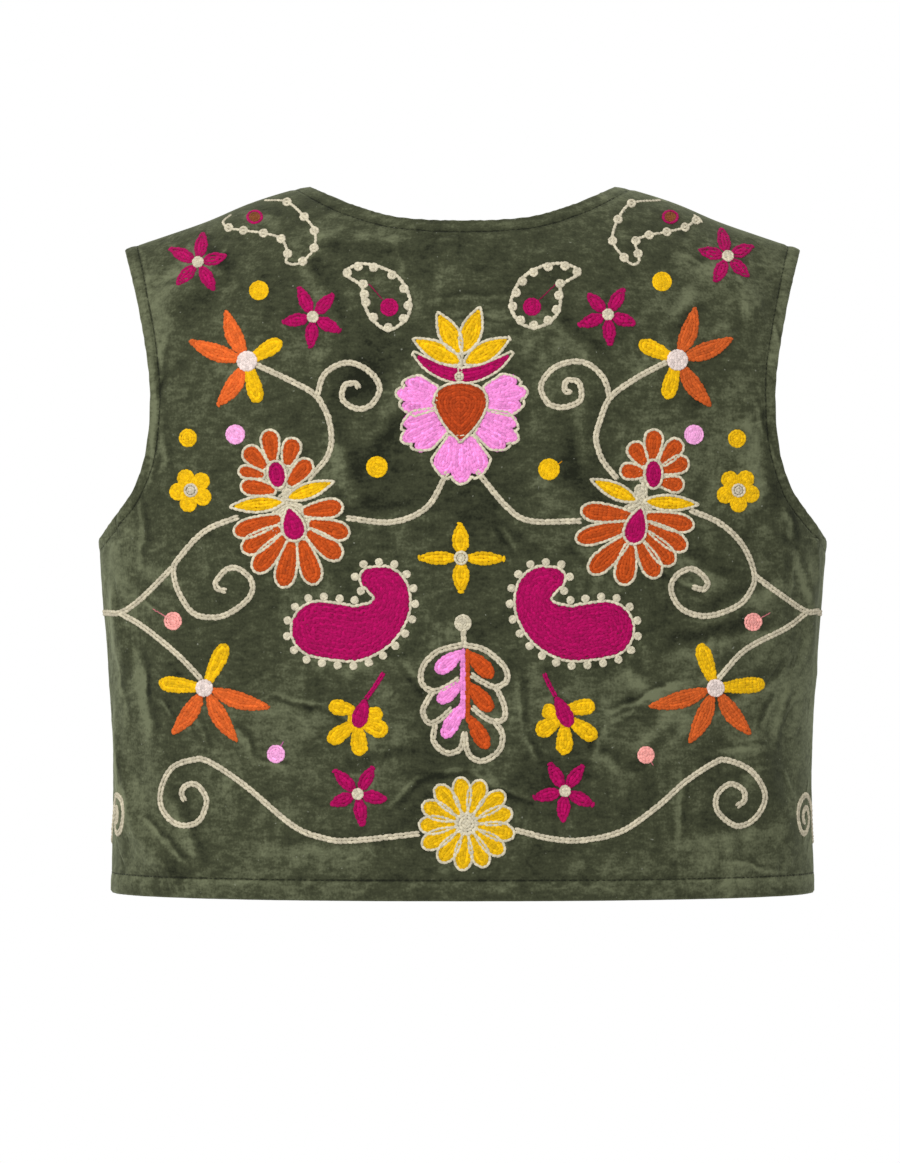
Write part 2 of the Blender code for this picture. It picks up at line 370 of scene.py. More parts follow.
def sheetPoints(isBack):
    # the outer face of a panel in mm, with folds, creases, puffed edges and stitch grooves
    column = columnsOf(isBack)
    hem = hemHeight(column, isBack)
    top = topHeight(column, isBack)
    height = hem[:, None] + rowShares()[None, :] * (top - hem)[:, None]
    column = np.repeat(column[:, None], height.shape[1], axis=1)
    plain = ovalPoint(column, height, isBack)
    normal = ovalNormal(column, height, isBack)
    across = clothAngle(column, height, isBack) / (math.pi / 2) * cut["quarter"]
    sideFade = smoothStep((1 - np.abs(column)) * cut["quarter"] / cut["foldFade"])
    topFade = smoothStep((top[:, None] - height) / cut["foldFade"])
    folds = backFolds if isBack else frontFolds
    creases = backCreases if isBack else frontCreases
    depth = foldDepth(folds, across, height) * sideFade * topFade
    depth += foldDepth(creases, across, height) * np.sqrt(sideFade * topFade)
    swelling = sum(most * rippleNoise(across, height, size, seed) for most, size, seed in swellings)
    depth += swelling * sideFade * topFade
    fields = {name: distancesTo(tree, plain) for name, tree in boundaryTrees(plain, isBack).items()}
    depth += edgeRelief(across, height, fields)
    points = plain + depth[..., None] * normal
    halfGap = cut["seamGap"] / 2
    y = points[..., 1]
    points[..., 1] = np.minimum(y, -halfGap) if isBack else np.maximum(y, halfGap)
    fields["napAndPaintedLight"] = napAndPaintedLightAt(points, depth, across, height, fields, isBack)
    fromLines = [fields[name] - edge["inset"] for name, edge in finish.items() if name in fields]
    fields["line"] = np.choose(np.argmin(np.abs(fromLines), axis=0), fromLines)
    return points, fields


def addAttribute(mesh, name, values, kind="FLOAT", field="value"):
    attribute = mesh.attributes.new(name, kind, "POINT")
    attribute.data.foreach_set(field, values.astype(np.float32).ravel())


def deselectAll():
    if bpy.context.object and bpy.context.object.mode != "OBJECT":
        bpy.ops.object.mode_set(mode="OBJECT")
    bpy.ops.object.select_all(action="DESELECT")


def applyModifiers(piece):
    deselectAll()
    bpy.context.view_layer.objects.active = piece
    piece.select_set(True)
    for modifier in list(piece.modifiers):
        bpy.ops.object.modifier_apply(modifier=modifier.name)


def makePanel(name, isBack, side):
    # a grid laid onto the form, then given the cloth's thickness
    points, fields = sheetPoints(isBack)
    points = points * np.array([side, 1, 1])
    columns, rows = points.shape[:2]
    deselectAll()
    bpy.ops.mesh.primitive_grid_add(x_subdivisions=columns - 1, y_subdivisions=rows - 1, size=1)
    piece = bpy.context.object
    piece.name = name
    mesh = piece.data
    mesh.name = name
    flat = np.zeros(len(mesh.vertices) * 3)
    mesh.vertices.foreach_get("co", flat)
    flat = flat.reshape(-1, 3) + 0.5
    column = np.rint(flat[:, 0] * (columns - 1)).astype(int)
    row = np.rint(flat[:, 1] * (rows - 1)).astype(int)
    placed = points[column, row] * mm
    mesh.vertices.foreach_set("co", placed.astype(np.float32).ravel())
    mesh.update()
    if (side < 0) == isBack:  # the grid faces up, so the side whose normals point in is turned
        mesh.flip_normals()
    tree = BVHTree.FromPolygons(
        [Vector(place / mm) for place in placed], [list(face.vertices) for face in mesh.polygons]
    )
    nearest = np.minimum.reduce([fields[key] for key in fields if key in finish])
    for label, values in (("edge", nearest), ("line", fields["line"]), ("napAndPaintedLight", fields["napAndPaintedLight"])):
        addAttribute(mesh, label, values[column, row])
    wall = piece.modifiers.new("cloth thickness", "SOLIDIFY")
    wall.thickness = cut["cloth"] * mm
    wall.offset = -1
    wall.material_offset = 1
    wall.material_offset_rim = 0
    applyModifiers(piece)
    bpy.ops.object.shade_smooth()
    return piece, tree, points, fields


# Patches of crushed nap, where the pile lies flat and looks lighter or stands and looks darker; several are
# painted sheen where the cloth turns away at the sides, and painted light and shade over the folds
backNapAndPaintedLight = (  # x, height, half width, half height, lightness
    (-200, -320, 18, 80, 0.4), (-206, -212, 12, 34, 0.5), (-178, -372, 26, 22, 0.25),
    (204, -330, 14, 66, 0.4), (-186, -52, 20, 34, 0.45), (188, -64, 18, 40, 0.4),
    (-6, -24, 46, 14, -0.2), (146, -152, 30, 26, 0.5), (0, -176, 66, 52, -0.35),
    (-120, -350, 40, 26, 0.1), (106, -284, 40, 16, 0.4), (118, -310, 36, 14, 0.25),
    (24, -338, 56, 10, -0.5), (-92, -296, 34, 12, 0.3), (-96, -286, 34, 5, -0.4),
    (150, -236, 30, 22, -0.25), (-60, -130, 24, 36, -0.2), (86, -180, 34, 14, -0.2),
    (-150, -206, 26, 16, 0.15), (84, -340, 40, 30, -0.45), (-64, -392, 90, 8, -0.15),
    (160, -390, 60, 10, 0.3), (198, -285, 16, 30, 0.5), (-100, -235, 60, 20, 0.1),
    (-54, -116, 14, 30, -0.6), (-60, -150, 16, 16, -0.3),
)
frontNapAndPaintedLight = (
    (200, -320, 18, 80, 0.5), (120, -240, 44, 30, -0.25), (190, -60, 18, 36, 0.4),
    (60, -330, 44, 24, 0.25), (40, -200, 24, 50, 0.2), (110, -110, 34, 26, 0.2), (140, -372, 50, 14, 0.2),
)
# Strengths of the nap's own tone and of the painted light in it: light and shade on fold sides, a highlight
# by the stitch lines, sheen by the seams
napAndPaintedLightLook = {
    "plain": 0.5, "lightest": 1.2, "reach": 0.45, "paintedLightAcross": 1.3, "paintedLightUp": 0.7, "steepest": 0.25,
    "puffHighlight": 0.12, "puffHighlightFrom": 4.0, "puffHighlightHalf": 2.5, "seam": 0.25, "seamHalf": 5.0,
    "edgeStrip": 3.0, "edgeFade": 6.0,
}


def napAndPaintedLightAt(points, depth, across, height, fields, isBack):
    # lightness of the nap: patches that are partly the pile's own tone and partly painted sheen, painted
    # light and shade on the sides of folds, a painted highlight beside the stitch lines and painted sheen
    # along the seams
    total = np.full(depth.shape, napAndPaintedLightLook["plain"])
    for x, z, halfX, halfZ, lightness in (backNapAndPaintedLight if isBack else frontNapAndPaintedLight):
        away = (points[..., 0] - x) / halfX
        patch = np.exp(-(away**2) - ((points[..., 2] - z) / halfZ) ** 2)
        total += napAndPaintedLightLook["reach"] * lightness * patch
    slopeAcross = np.gradient(depth, axis=0) / np.maximum(np.gradient(across, axis=0), 0.3)
    slopeUp = np.gradient(depth, axis=1) / np.maximum(np.gradient(height, axis=1), 0.3)
    steepest = napAndPaintedLightLook["steepest"]
    nearest = np.minimum.reduce(list(fields.values()))
    inside = np.clip((nearest - napAndPaintedLightLook["edgeStrip"]) / napAndPaintedLightLook["edgeFade"], 0, 1)
    # painted light and shade: the sides of folds are made lighter or darker by their slope, as a light from
    # the left and above would make them
    total += inside * napAndPaintedLightLook["paintedLightAcross"] * np.clip(slopeAcross, -steepest, steepest)
    total -= inside * napAndPaintedLightLook["paintedLightUp"] * np.clip(slopeUp, -steepest, steepest)
    # a painted highlight on the puffed strip between each stitch line and its edge
    for name, edge in finish.items():
        if name in fields:
            away = fields[name] - edge["inset"] + napAndPaintedLightLook["puffHighlightFrom"]
            total += napAndPaintedLightLook["puffHighlight"] * np.exp(-((away / napAndPaintedLightLook["puffHighlightHalf"]) ** 2))
    # painted sheen along the seams, where the cloth turns away
    total += napAndPaintedLightLook["seam"] * np.exp(-((fields["seam"] / napAndPaintedLightLook["seamHalf"]) ** 2))
    return np.clip(total, 0, napAndPaintedLightLook["lightest"])


back, backTree, backPoints, backFields = makePanel("back_velvet", True, 1)
frontLeft, leftTree, leftPoints, frontFields = makePanel("front_left_velvet", False, -1)
frontRight, rightTree, rightPoints, frontFields = makePanel("front_right_velvet", False, 1)
print("cloth laid:", len(back.data.polygons), "faces on the back")


# Embroidery. Its designs are drawn in mm as seen from behind: x to the right, z up.
stitch = {
    "row": 1.7, "pitch": 2.7, "width": 2.5, "height": 0.85, "sunk": 0.35, "longer": 0.65,
    "sizeJitter": 0.06, "turnJitter": 0.13, "shadeJitter": 0.16, "traced": 0.8,
    "eye": 3500.0, "eyeX": -7.5, "eyeHeight": -217.2, "sideEye": 500,
}
# The underlay's shade value is painted shade, darker under the rows above
flatStitch = {"inset": 1.1, "gap": 1.9, "pitch": 4.2, "shortest": 0.9, "deeper": 0.3, "paintedShade": 0.92}
filling = {"wobble": 0.15, "waves": (4.6, 7.3), "secondWave": 0.6, "shades": (0.9, 1.08)}
roundMiddle = {"half": 0.9, "width": 2.9, "lift": 0.12}
tints = {  # what a thread's colour is multiplied by where it differs
    "plain": (1, 1, 1), "vine": (0.91, 0.9, 0.89), "tail": (0.55, 0.4, 0.5), "pinkDot": (1, 1.4, 1.05),
    "lilyOrange": (1.24, 1.45, 2.0), "lilyMiddle": (1.2, 1.12, 1.4), "sideFlower": (0.86, 0.82, 0.8),
    "leafOrange": (0.9, 0.8, 0.8), "heart": (0.72, 0.58, 0.75), "shoulderSpot": (0.36, 0.7, 1.6),
    "daisy": (0.93, 0.94, 1.0), "fiveMiddle": (0.95, 0.93, 0.95),
}
work = {}  # rows of stitches by panel and thread
curveStep = 1.0


def smoothCurve(points, closed=False):
    # a soft curve through a few points
    known = np.array(points, float)
    if closed:
        padded = np.vstack([known[-1:], known, known[:2]])
    else:
        padded = np.vstack([2 * known[0] - known[1], known, 2 * known[-1] - known[-2]])
    pieces = []
    for a, b, c, d in zip(padded, padded[1:], padded[2:], padded[3:]):
        count = max(2, int(math.ceil(np.linalg.norm(c - b) / curveStep)))
        t = (np.arange(count) / count)[:, None]
        bend = 2 * b + (c - a) * t + (2 * a - 5 * b + 4 * c - d) * t**2
        pieces.append(0.5 * (bend + (3 * b - a - 3 * c + d) * t**3))
    if not closed:
        pieces.append(known[-1:])
    return np.vstack(pieces)


def sideways(line, closed=False):
    # unit vectors to the left of a line
    if closed:
        ahead = np.roll(line, -1, axis=0) - np.roll(line, 1, axis=0)
    else:
        ahead = np.gradient(line, axis=0)
    ahead = unit(ahead)
    return np.column_stack([-ahead[:, 1], ahead[:, 0]])


def turnsLeft(outline):
    x, z = outline[:, 0], outline[:, 1]
    area = np.sum(x * np.roll(z, -1) - np.roll(x, -1) * z)
    return outline if area > 0 else outline[::-1]


def seen(panel, x, z):
    # where the line of sight through a point of the drawing meets the cloth
    eyeX = stitch["eyeX"] if panel["facing"] < 0 else 0
    eye = Vector((eyeX, panel["facing"] * stitch["eye"], stitch["eyeHeight"]))
    aim = Vector((x, 0, z)) - eye
    return panel["tree"].ray_cast(eye, aim.normalized())[:2]


def seenFromSide(panel, y, z, side):
    eye = Vector((side * stitch["sideEye"], y, z))
    return panel["tree"].ray_cast(eye, Vector((-side, 0, 0)))[:2]


def addRow(panel, thread, line, closed=False, width=stitch["width"], pitch=stitch["pitch"],
           tint=tints["plain"], height=1.0, side=0, lift=0):
    # chain stitches along one line of the drawing
    line = evenPoints(line, stitch["traced"], closed)
    if closed:
        line = np.vstack([line, line[:1]])
    places = []
    normals = []
    for a, b in line:
        place, normal = seenFromSide(panel, a, b, side) if side else seen(panel, a, b)
        if place is None:
            break
        places.append(place)
        normals.append(normal)
    if len(places) < 2:
        return
    places = np.array(places)
    normals = np.array(normals)
    lengths = lengthsAlong(places)
    count = max(1, int(round(lengths[-1] / pitch)))
    step = lengths[-1] / count
    middles = (np.arange(count) + 0.5) * step

    def at(where, values):
        return np.column_stack([np.interp(where, lengths, values[:, k]) for k in range(3)])

    upward = unit(at(middles, normals))
    ahead = at(middles + 0.3 * step, places) - at(middles - 0.3 * step, places)
    ahead = unit(ahead - upward * np.sum(ahead * upward, axis=1, keepdims=True))
    middle = at(middles, places) + upward * lift
    jitter = stitch["sizeJitter"]
    sizes = np.tile([step + stitch["longer"] * pitch, width, height], (count, 1))
    sizes = sizes * chance.uniform(1 - jitter, 1 + jitter, (count, 3))
    jitter = stitch["shadeJitter"]
    shades = np.array(tint) * chance.uniform(1 - jitter, 1 + jitter, (count, 1))
    work.setdefault((panel["name"], thread), []).append((middle, ahead, upward, sizes, shades))


def underlay(panel, thread, outline, tint, lift):
    # long flat stitches across a shape, which close what the rows above leave open; they are painted darker,
    # as the shade under the rows above
    if len(outline) < 4:
        return
    x, z = outline[:, 0], outline[:, 1]
    nextX, nextZ = np.roll(x, -1), np.roll(z, -1)
    tint = np.array(tint) * flatStitch["paintedShade"]
    lift = lift - flatStitch["deeper"]
    pitch = flatStitch["pitch"]
    for level in np.arange(z.min() + 0.3, z.max() - 0.2, flatStitch["gap"]):
        crossing = (z <= level) != (nextZ <= level)
        share = (level - z[crossing]) / (nextZ[crossing] - z[crossing])
        ends = np.sort(x[crossing] + share * (nextX[crossing] - x[crossing]))
        for start, end in zip(ends[::2], ends[1::2]):
            if end - start > flatStitch["shortest"]:
                addRow(panel, thread, [(start, level), (end, level)], pitch=pitch, tint=tint, lift=lift)


def wobbled(row, reach):
    # a row laid by hand wanders a little to both sides
    row = evenPoints(row, stitch["traced"], True)
    turn = 2 * math.pi * stitch["traced"] * np.arange(len(row))
    firstWave, secondWave = [np.sin(turn / length + chance.uniform(0, 6)) for length in filling["waves"]]
    aside = firstWave + filling["secondWave"] * secondWave
    return row + sideways(row, True) * (reach * aside)[:, None]


def fill(panel, thread, shape, deepest, tint=tints["plain"], wobble=filling["wobble"], **more):
    # rows of chain stitch, one inside the other; shape gives the outline a distance inside the edge
    underlay(panel, thread, shape(flatStitch["inset"]), tint, more.get("lift", 0))
    count = max(1, int(round(deepest / stitch["row"])))
    for k in range(count):
        # rows are painted darker and lighter by turns, as the shade between rows
        paintedShade = filling["shades"][k % 2]
        row = shape((k + 0.5) * deepest / count)
        if len(row) > 2:
            addRow(panel, thread, wobbled(row, wobble), True, tint=np.array(tint) * paintedShade, **more)


def circle(x, z, radius, squeeze, inset=0.0):
    angle = np.linspace(0, 2 * math.pi, 40, endpoint=False)
    left = radius - inset
    return np.column_stack([x + left * np.cos(angle), z + left * squeeze * np.sin(angle)])


def disc(panel, thread, x, z, radius, squeeze=1.0, rowGap=stitch["row"], **more):
    # a round of stitches, from the rim to the middle
    half = roundMiddle["half"]
    rings = max(1, int(round((radius - half) / rowGap)))
    for k in range(rings):
        ring = circle(x, z, radius, squeeze, (k + 0.5) * (radius - half) / rings)
        addRow(panel, thread, ring, True, **more)
    more["width"] = roundMiddle["width"]
    more["lift"] = more.get("lift", 0) + roundMiddle["lift"]
    addRow(panel, thread, [(x - half, z), (x + half, z)], **more)


def flowerMiddle(panel, x, z, radius, **more):
    # a small raised round of cream stitches
    look = {"rowGap": 1.5, "width": 2.0, "pitch": 2.2, "height": 1.1, "lift": 0.5}
    disc(panel, "cream", x, z, radius, **{**look, **more})


tipPull = {"pointed": (1.2, 2.0), "round": (0.9, 1.0), "oval": (1.3, 1.3), "drop": (1.4, 1.0)}
petalLook = {
    "widest": 0.7, "dropWidest": 0.66, "mostPulled": 0.82, "pointedLean": 0.87, "pointedRound": 0.88,
    "dropRound": 0.85, "foot": 0.42, "footLength": 0.04,
}


def frameOf(base, end):
    # both ends as arrays, the length, and unit vectors along and aside
    base = np.array(base, float)
    end = np.array(end, float)
    length = np.linalg.norm(end - base)
    along = (end - base) / length
    return base, end, length, along, np.array([-along[1], along[0]])


def petalShape(base, end, half, kind, bend, inset):
    # outline of a petal from its base to its end; kind is pointed, round, oval or drop
    base, end, length, along, aside = frameOf(base, end)
    pull = np.array(tipPull[kind]) * inset
    if inset > 0:
        pull = pull * min(1.0, petalLook["mostPulled"] * length * (inset / half) / pull.sum())
    base = base + pull[0] * along
    end = end - pull[1] * along
    half = half - inset
    s = (1 - np.cos(np.linspace(0, math.pi, 33))) / 2
    widest = petalLook["dropWidest" if kind == "drop" else "widest"]
    rising = np.sin(math.pi / 2 * s / widest)
    rounded = np.sqrt(np.clip(1 - ((s - widest) / (1 - widest)) ** 2, 0, 1))
    if kind == "pointed":
        width = np.sin(math.pi * s ** petalLook["pointedLean"]) ** petalLook["pointedRound"]
    elif kind == "oval":
        width = np.sqrt(np.clip(1 - (2 * s - 1) ** 2, 0, 1))
    elif kind == "drop":
        width = np.where(s < widest, rising ** petalLook["dropRound"], rounded)
    else:
        foot = petalLook["foot"]
        opening = np.sqrt(np.clip(s / petalLook["footLength"], 0, 1))
        width = np.where(s < widest, (foot + (1 - foot) * rising) * opening, rounded)
    middle = base + s[:, None] * (end - base) + (bend * 4 * s * (1 - s))[:, None] * aside
    left = middle + (half * width)[:, None] * aside
    right = middle - (half * width)[:, None] * aside
    return np.vstack([left, right[-2:0:-1]])


def petal(panel, thread, base, end, half, kind, bend=0.0, outlined=False, edge=2.1, **more):
    def shape(inset):
        return petalShape(base, end, half, kind, bend, inset)

    fill(panel, thread, shape, half, **more)
    if outlined:
        addRow(panel, "cream", shape(-0.5), True, width=edge, lift=0.25 + more.get("lift", 0))


def vine(panel, points, gap=1.7, side=0, curved=True, width=2.35):
    # a stem of two rows side by side
    line = smoothCurve(points) if curved else np.array(points, float)
    left = sideways(line)
    for shift in (-gap / 2, gap / 2):
        row = line + left * shift
        addRow(panel, "cream", row, width=width, side=side, pitch=3.0, tint=tints["vine"])


def bead(panel, x, z, radius):
    disc(panel, "cream", x, z, radius, rowGap=1.6, width=2.3, pitch=2.4, lift=0.15)


def dot(panel, thread, x, z, radius, tail, tint=tints["plain"]):
    # a round of stitches, with the loose end of its thread where the photo shows one
    disc(panel, thread, x, z, radius, rowGap=1.35, width=2.2, pitch=2.4, tint=tint, height=0.85)
    if tail:
        addRow(panel, thread, [(x, z), tail], width=0.9, pitch=2.4, tint=tints["tail"], height=0.6)


# One row each: middle, reach of the petals, angle of the first
stars = (
    (-158.3, -26.0, 19.5, 82), (-89.7, -58.7, 20.2, 120), (158.9, -22.4, 18.8, 99),
    (87.2, -57.3, 20.0, 130), (-62.7, -344.7, 20.2, 130), (61.4, -343.0, 20.6, 123),
)
lilies = (  # middle, radius, lightness of the orange, orange petal ends, yellow petal ends
    ((-129.0, -85.2), 6.0, 1.0,
     ((-142.5, -53.5), (-165.1, -72.3), (-147.6, -112.8)), ((-108.6, -72.9), (-122.5, -109.9))),
    ((128.7, -84.5), 6.2, 0.78,
     ((140.2, -51.6), (163.3, -70.7), (149.9, -113.1)), ((106.0, -73.9), (122.5, -107.6))),
    ((-154.5, -281.1), 5.2, 0.9,
     ((-174.9, -309.9), (-134.7, -314.1), (-114.3, -293.1)), ((-141.9, -254.7), (-182.1, -278.1))),
    ((151.5, -281.1), 5.2, 0.82,
     ((110.7, -292.5), (135.3, -315.3), (173.7, -309.9)), ((142.5, -254.7), (181.5, -278.7))),
)
dots = (  # thread, x, z, radius, end of the loose tail
    ("yellow", -122.1, -42.6, 5.7, None), ("yellow", 119.7, -37.3, 5.7, None),
    ("yellow", -164.7, -131.1, 5.4, None), ("yellow", 164.7, -131.5, 5.4, None),
    ("yellow", -51.3, -148.5, 6.3, None), ("yellow", 51.9, -149.9, 6.3, (59.7, -145.3)),
    ("pink", -136.3, -129.0, 5.7, None), ("pink", 138.9, -129.1, 5.7, None),
    ("pink", -111.9, -320.7, 5.4, (-107.5, -313.5)), ("coral", 110.1, -321.3, 5.1, (114.5, -327.5)),
    ("coral", -173.7, -240.9, 5.4, (-185.7, -233.7)), ("coral", 174.3, -241.5, 5.4, (184.5, -236.1)),
)
yellowFlowers = ((-162.7, -162.5, 114), (165.3, -162.5, 128))  # middle, angle of the first petal
vines = (
    ((-123.3, -87.3), (-102.9, -96.9), (-87.5, -106.3), (-79.5, -123.0), (-80.3, -140.5), (-92.7, -156.3)),
    ((-87.3, -105.9), (-82.5, -92.5), (-69.3, -85.9), (-56.3, -90.9), (-49.7, -101.1), (-54.9, -111.3),
     (-63.5, -113.5), (-71.7, -108.3), (-70.8, -99.7), (-64.3, -98.3), (-62.4, -101.1)),
    ((122.5, -85.5), (104.5, -95.1), (88.7, -106.8), (82.5, -120.9), (80.1, -131.9), (84.1, -144.5),
     (92.7, -155.5)),
    ((88.4, -106.8), (84.9, -95.7), (76.2, -87.2), (66.0, -85.3), (54.3, -89.5), (47.1, -99.7),
     (51.1, -109.9), (60.5, -112.7), (70.7, -108.3), (69.9, -98.1), (62.9, -96.6), (61.3, -102.1),
     (65.1, -104.0)),
    ((-8.8, -150.8), (-21.3, -172.5), (-42.3, -181.5), (-69.5, -179.1)),
    ((8.5, -150.8), (26.7, -172.5), (41.1, -180.9), (71.1, -180.9)),
    ((-134.7, -178.5), (-154.5, -186.9), (-169.5, -202.5), (-173.3, -210.0), (-170.9, -222.1),
     (-162.6, -235.3), (-152.8, -238.6), (-141.2, -236.9), (-128.1, -227.0), (-126.4, -217.2),
     (-133.9, -209.8), (-141.2, -209.8), (-147.8, -217.2), (-147.0, -221.3), (-142.1, -222.9)),
    ((-174.3, -209.1), (-192.3, -227.1), (-204.5, -235.6), (-213.4, -236.1)),
    ((-205.5, -236.1), (-190.5, -245.1), (-170.7, -261.3), (-156.9, -275.7)),
    ((136.5, -174.3), (155.1, -182.7), (168.3, -195.9), (174.9, -212.1), (173.1, -222.3), (164.7, -231.9),
     (146.7, -237.9), (131.7, -233.7), (125.1, -222.3), (128.7, -213.3), (138.3, -209.7), (146.7, -216.9),
     (144.8, -221.8), (138.3, -220.5)),
    ((175.5, -213.9), (191.1, -225.3), (205.5, -234.9), (213.6, -235.1)),
    ((206.7, -235.5), (194.1, -245.1), (169.5, -258.3), (153.3, -275.7)),
    ((-166.7, -348.8), (-168.4, -343.9), (-165.9, -339.7), (-160.1, -338.9), (-155.2, -343.9),
     (-153.6, -350.5), (-157.7, -360.3), (-165.9, -363.6), (-174.1, -361.1), (-180.7, -352.1),
     (-180.4, -340.6), (-174.1, -329.0), (-162.6, -324.4), (-152.8, -325.0), (-131.4, -338.9),
     (-101.8, -363.6), (-83.7, -371.0), (-67.2, -372.7), (-26.1, -368.5)),
    ((31.5, -366.3), (54.3, -371.7), (72.9, -372.3), (95.7, -366.9), (117.3, -351.9), (133.5, -337.5),
     (149.7, -326.7), (158.1, -324.3), (173.1, -330.9), (181.5, -345.3), (176.1, -358.5), (164.7, -363.9),
     (153.3, -355.5), (152.7, -345.3), (160.5, -338.7), (168.3, -342.3), (169.0, -348.5), (164.7, -351.9)),
)
# The same stem where it runs round the side to the seam, and the curls there, as y and z from the side
sideStem = ((-26, -235.6), (-14, -236), (-1, -236))
sideCurl = {"y": -31.5, "z": -357.5, "radius": 15.5, "turns": 1.75}


def star(panel, x, z, reach, turn):
    middle = np.array([x, z])
    for k in range(5):
        angle = math.radians(turn - 72 * k + chance.uniform(-5, 5))
        length = reach * chance.uniform(0.96, 1.08)
        ray = np.array([math.cos(angle), math.sin(angle)])
        petal(panel, "magenta", middle + ray * 1.5, middle + ray * length, 4.1, "pointed")
    flowerMiddle(panel, x, z, 3.2, width=2.4, lift=0.7)


def lily(panel, middle, radius, lightness, orangeEnds, yellowEnds):
    middle = np.array(middle)
    for end in orangeEnds:
        start = middle + (np.array(end) - middle) * 0.08
        bend = 1.3 if end[0] < middle[0] else -1.3
        tint = np.array(tints["lilyOrange"]) * lightness
        petal(panel, "orange", start, end, 5.1, "pointed", bend, tint=tint)
    for end in yellowEnds:
        start = middle + (np.array(end) - middle) * 0.1
        petal(panel, "yellow", start, end, 4.7, "round")
    look = {"rowGap": 1.35, "width": 2.5, "pitch": 2.3, "tint": tints["lilyMiddle"], "lift": 0.75}
    flowerMiddle(panel, middle[0], middle[1], radius - 0.2, **look)


def beadedPaisley(panel, beads, lineShift):
    # a thin line with round beads of stitches along it
    known = turnsLeft(np.array(beads, float))
    line = smoothCurve(known - sideways(known, True) * lineShift, True)
    addRow(panel, "cream", line, True, width=2.7)
    for x, z in beads:
        bead(panel, x, z, 2.9)


innerBeads = {
    "left": ((-69.1, -32.1), (-62.5, -28.3), (-53.3, -28.9), (-42.2, -33.4), (-35.1, -41.5), (-32.6, -51.7),
             (-35.4, -59.5), (-44.6, -65.0), (-53.4, -58.8), (-57.9, -49.8), (-58.8, -45.0), (-59.5, -38.9)),
    "right": ((68.8, -31.5), (61.5, -28.0), (51.4, -28.5), (42.6, -31.8), (35.9, -37.2), (32.2, -44.0),
              (30.2, -52.2), (34.9, -60.5), (42.8, -63.6), (51.4, -60.6), (56.4, -54.2), (57.8, -45.6),
              (58.4, -38.6)),
}
shoulderBeads = {
    "left": ((-105.2, 10.4), (-94.9, 1.5), (-88.8, -6.9), (-89.0, -17.2), (-95.8, -25.2)),
    "leftBack": ((-104.8, -20.6), (-108.8, -11.7), (-119.3, -8.3), (-131.3, -6.7), (-140.2, -5.0)),
    "right": ((101.3, 9.6), (93.2, -0.1), (90.0, -12.9), (97.0, -23.0)),
    "rightBack": ((105.3, -20.6), (103.9, -12.9), (111.9, -9.5), (122.5, -7.6), (133.5, -4.8), (140.2, -0.6)),
}


def shoulderPaisley(panel, side):
    # the curl that lies over the shoulder: half of it shows from behind
    key = "left" if side < 0 else "right"
    outer = list(shoulderBeads[key])
    inner = list(shoulderBeads[key + "Back"])
    start = [(side * 118.5, 11.4)]
    turnRound = [(side * 102.0, -27.0), (side * 105.8, -25.2)]
    lastPoints = [(side * 143.6, -1.6), (side * 139.0, 2.6)]
    addRow(panel, "cream", smoothCurve(start + outer + turnRound + inner + lastPoints), width=2.2)
    for x, z in outer + inner:
        bead(panel, x, z, 2.9)
    x, z, squeeze = side * 124.6, 1.4, 0.85
    disc(panel, "orange", x, z, 3.4, squeeze, rowGap=1.4, width=2.2, tint=tints["shoulderSpot"])
    addRow(panel, "magenta", circle(x, z, 4.2, squeeze), True, width=2.2, lift=0.1)


def sideFlower(panel, drops, petals, leaves, middles):
    for x, z, radius in middles:
        disc(panel, "cream", x, z, radius, lift=-0.3)
    for base, end, half in petals:
        petal(panel, "orange", base, end, half, "round", outlined=True, tint=tints["sideFlower"])
    for base, end, half in leaves:
        petal(panel, "yellow", base, end, half, "pointed", outlined=True, lift=0.2)
    for (base, end, half), kind in zip(drops, ("oval", "drop")):
        petal(panel, "magenta", base, end, half, kind, outlined=True, edge=2.0, lift=0.75)


leftFlower = {
    "middles": ((-111.5, -153.5, 9.5), (-103.2, -181.5, 12.5), (-106.5, -168.5, 5.0), (-104.5, -163.5, 4.2)),
    "drops": (((-112.3, -145.6), (-109.9, -160.6), 5.0), ((-104.0, -173.0), (-99.0, -192.2), 6.3)),
    "petals": (
        ((-113.7, -145.3), (-116.1, -126.8), 5.0), ((-105.4, -147.5), (-100.9, -131.9), 5.0),
        ((-104.2, -159.4), (-91.5, -145.0), 5.0), ((-118.0, -149.0), (-130.0, -137.6), 5.0),
        ((-118.8, -153.6), (-133.6, -150.6), 3.4), ((-112.2, -162.6), (-132.3, -159.7), 4.6),
        ((-108.7, -178.9), (-136.4, -187.9), 5.2), ((-109.0, -185.4), (-131.4, -198.5), 5.4),
        ((-106.5, -189.9), (-124.3, -210.8), 5.6), ((-102.1, -193.0), (-107.8, -220.2), 5.8),
        ((-96.4, -192.4), (-88.3, -218.2), 5.8), ((-92.9, -187.1), (-73.2, -202.6), 5.6),
        ((-92.0, -182.1), (-68.4, -188.7), 5.2), ((-95.7, -175.6), (-72.4, -172.2), 5.2),
    ),
    "leaves": (((-105.0, -167.4), (-78.0, -157.6), 4.1), ((-107.4, -169.6), (-138.6, -172.4), 4.2)),
}
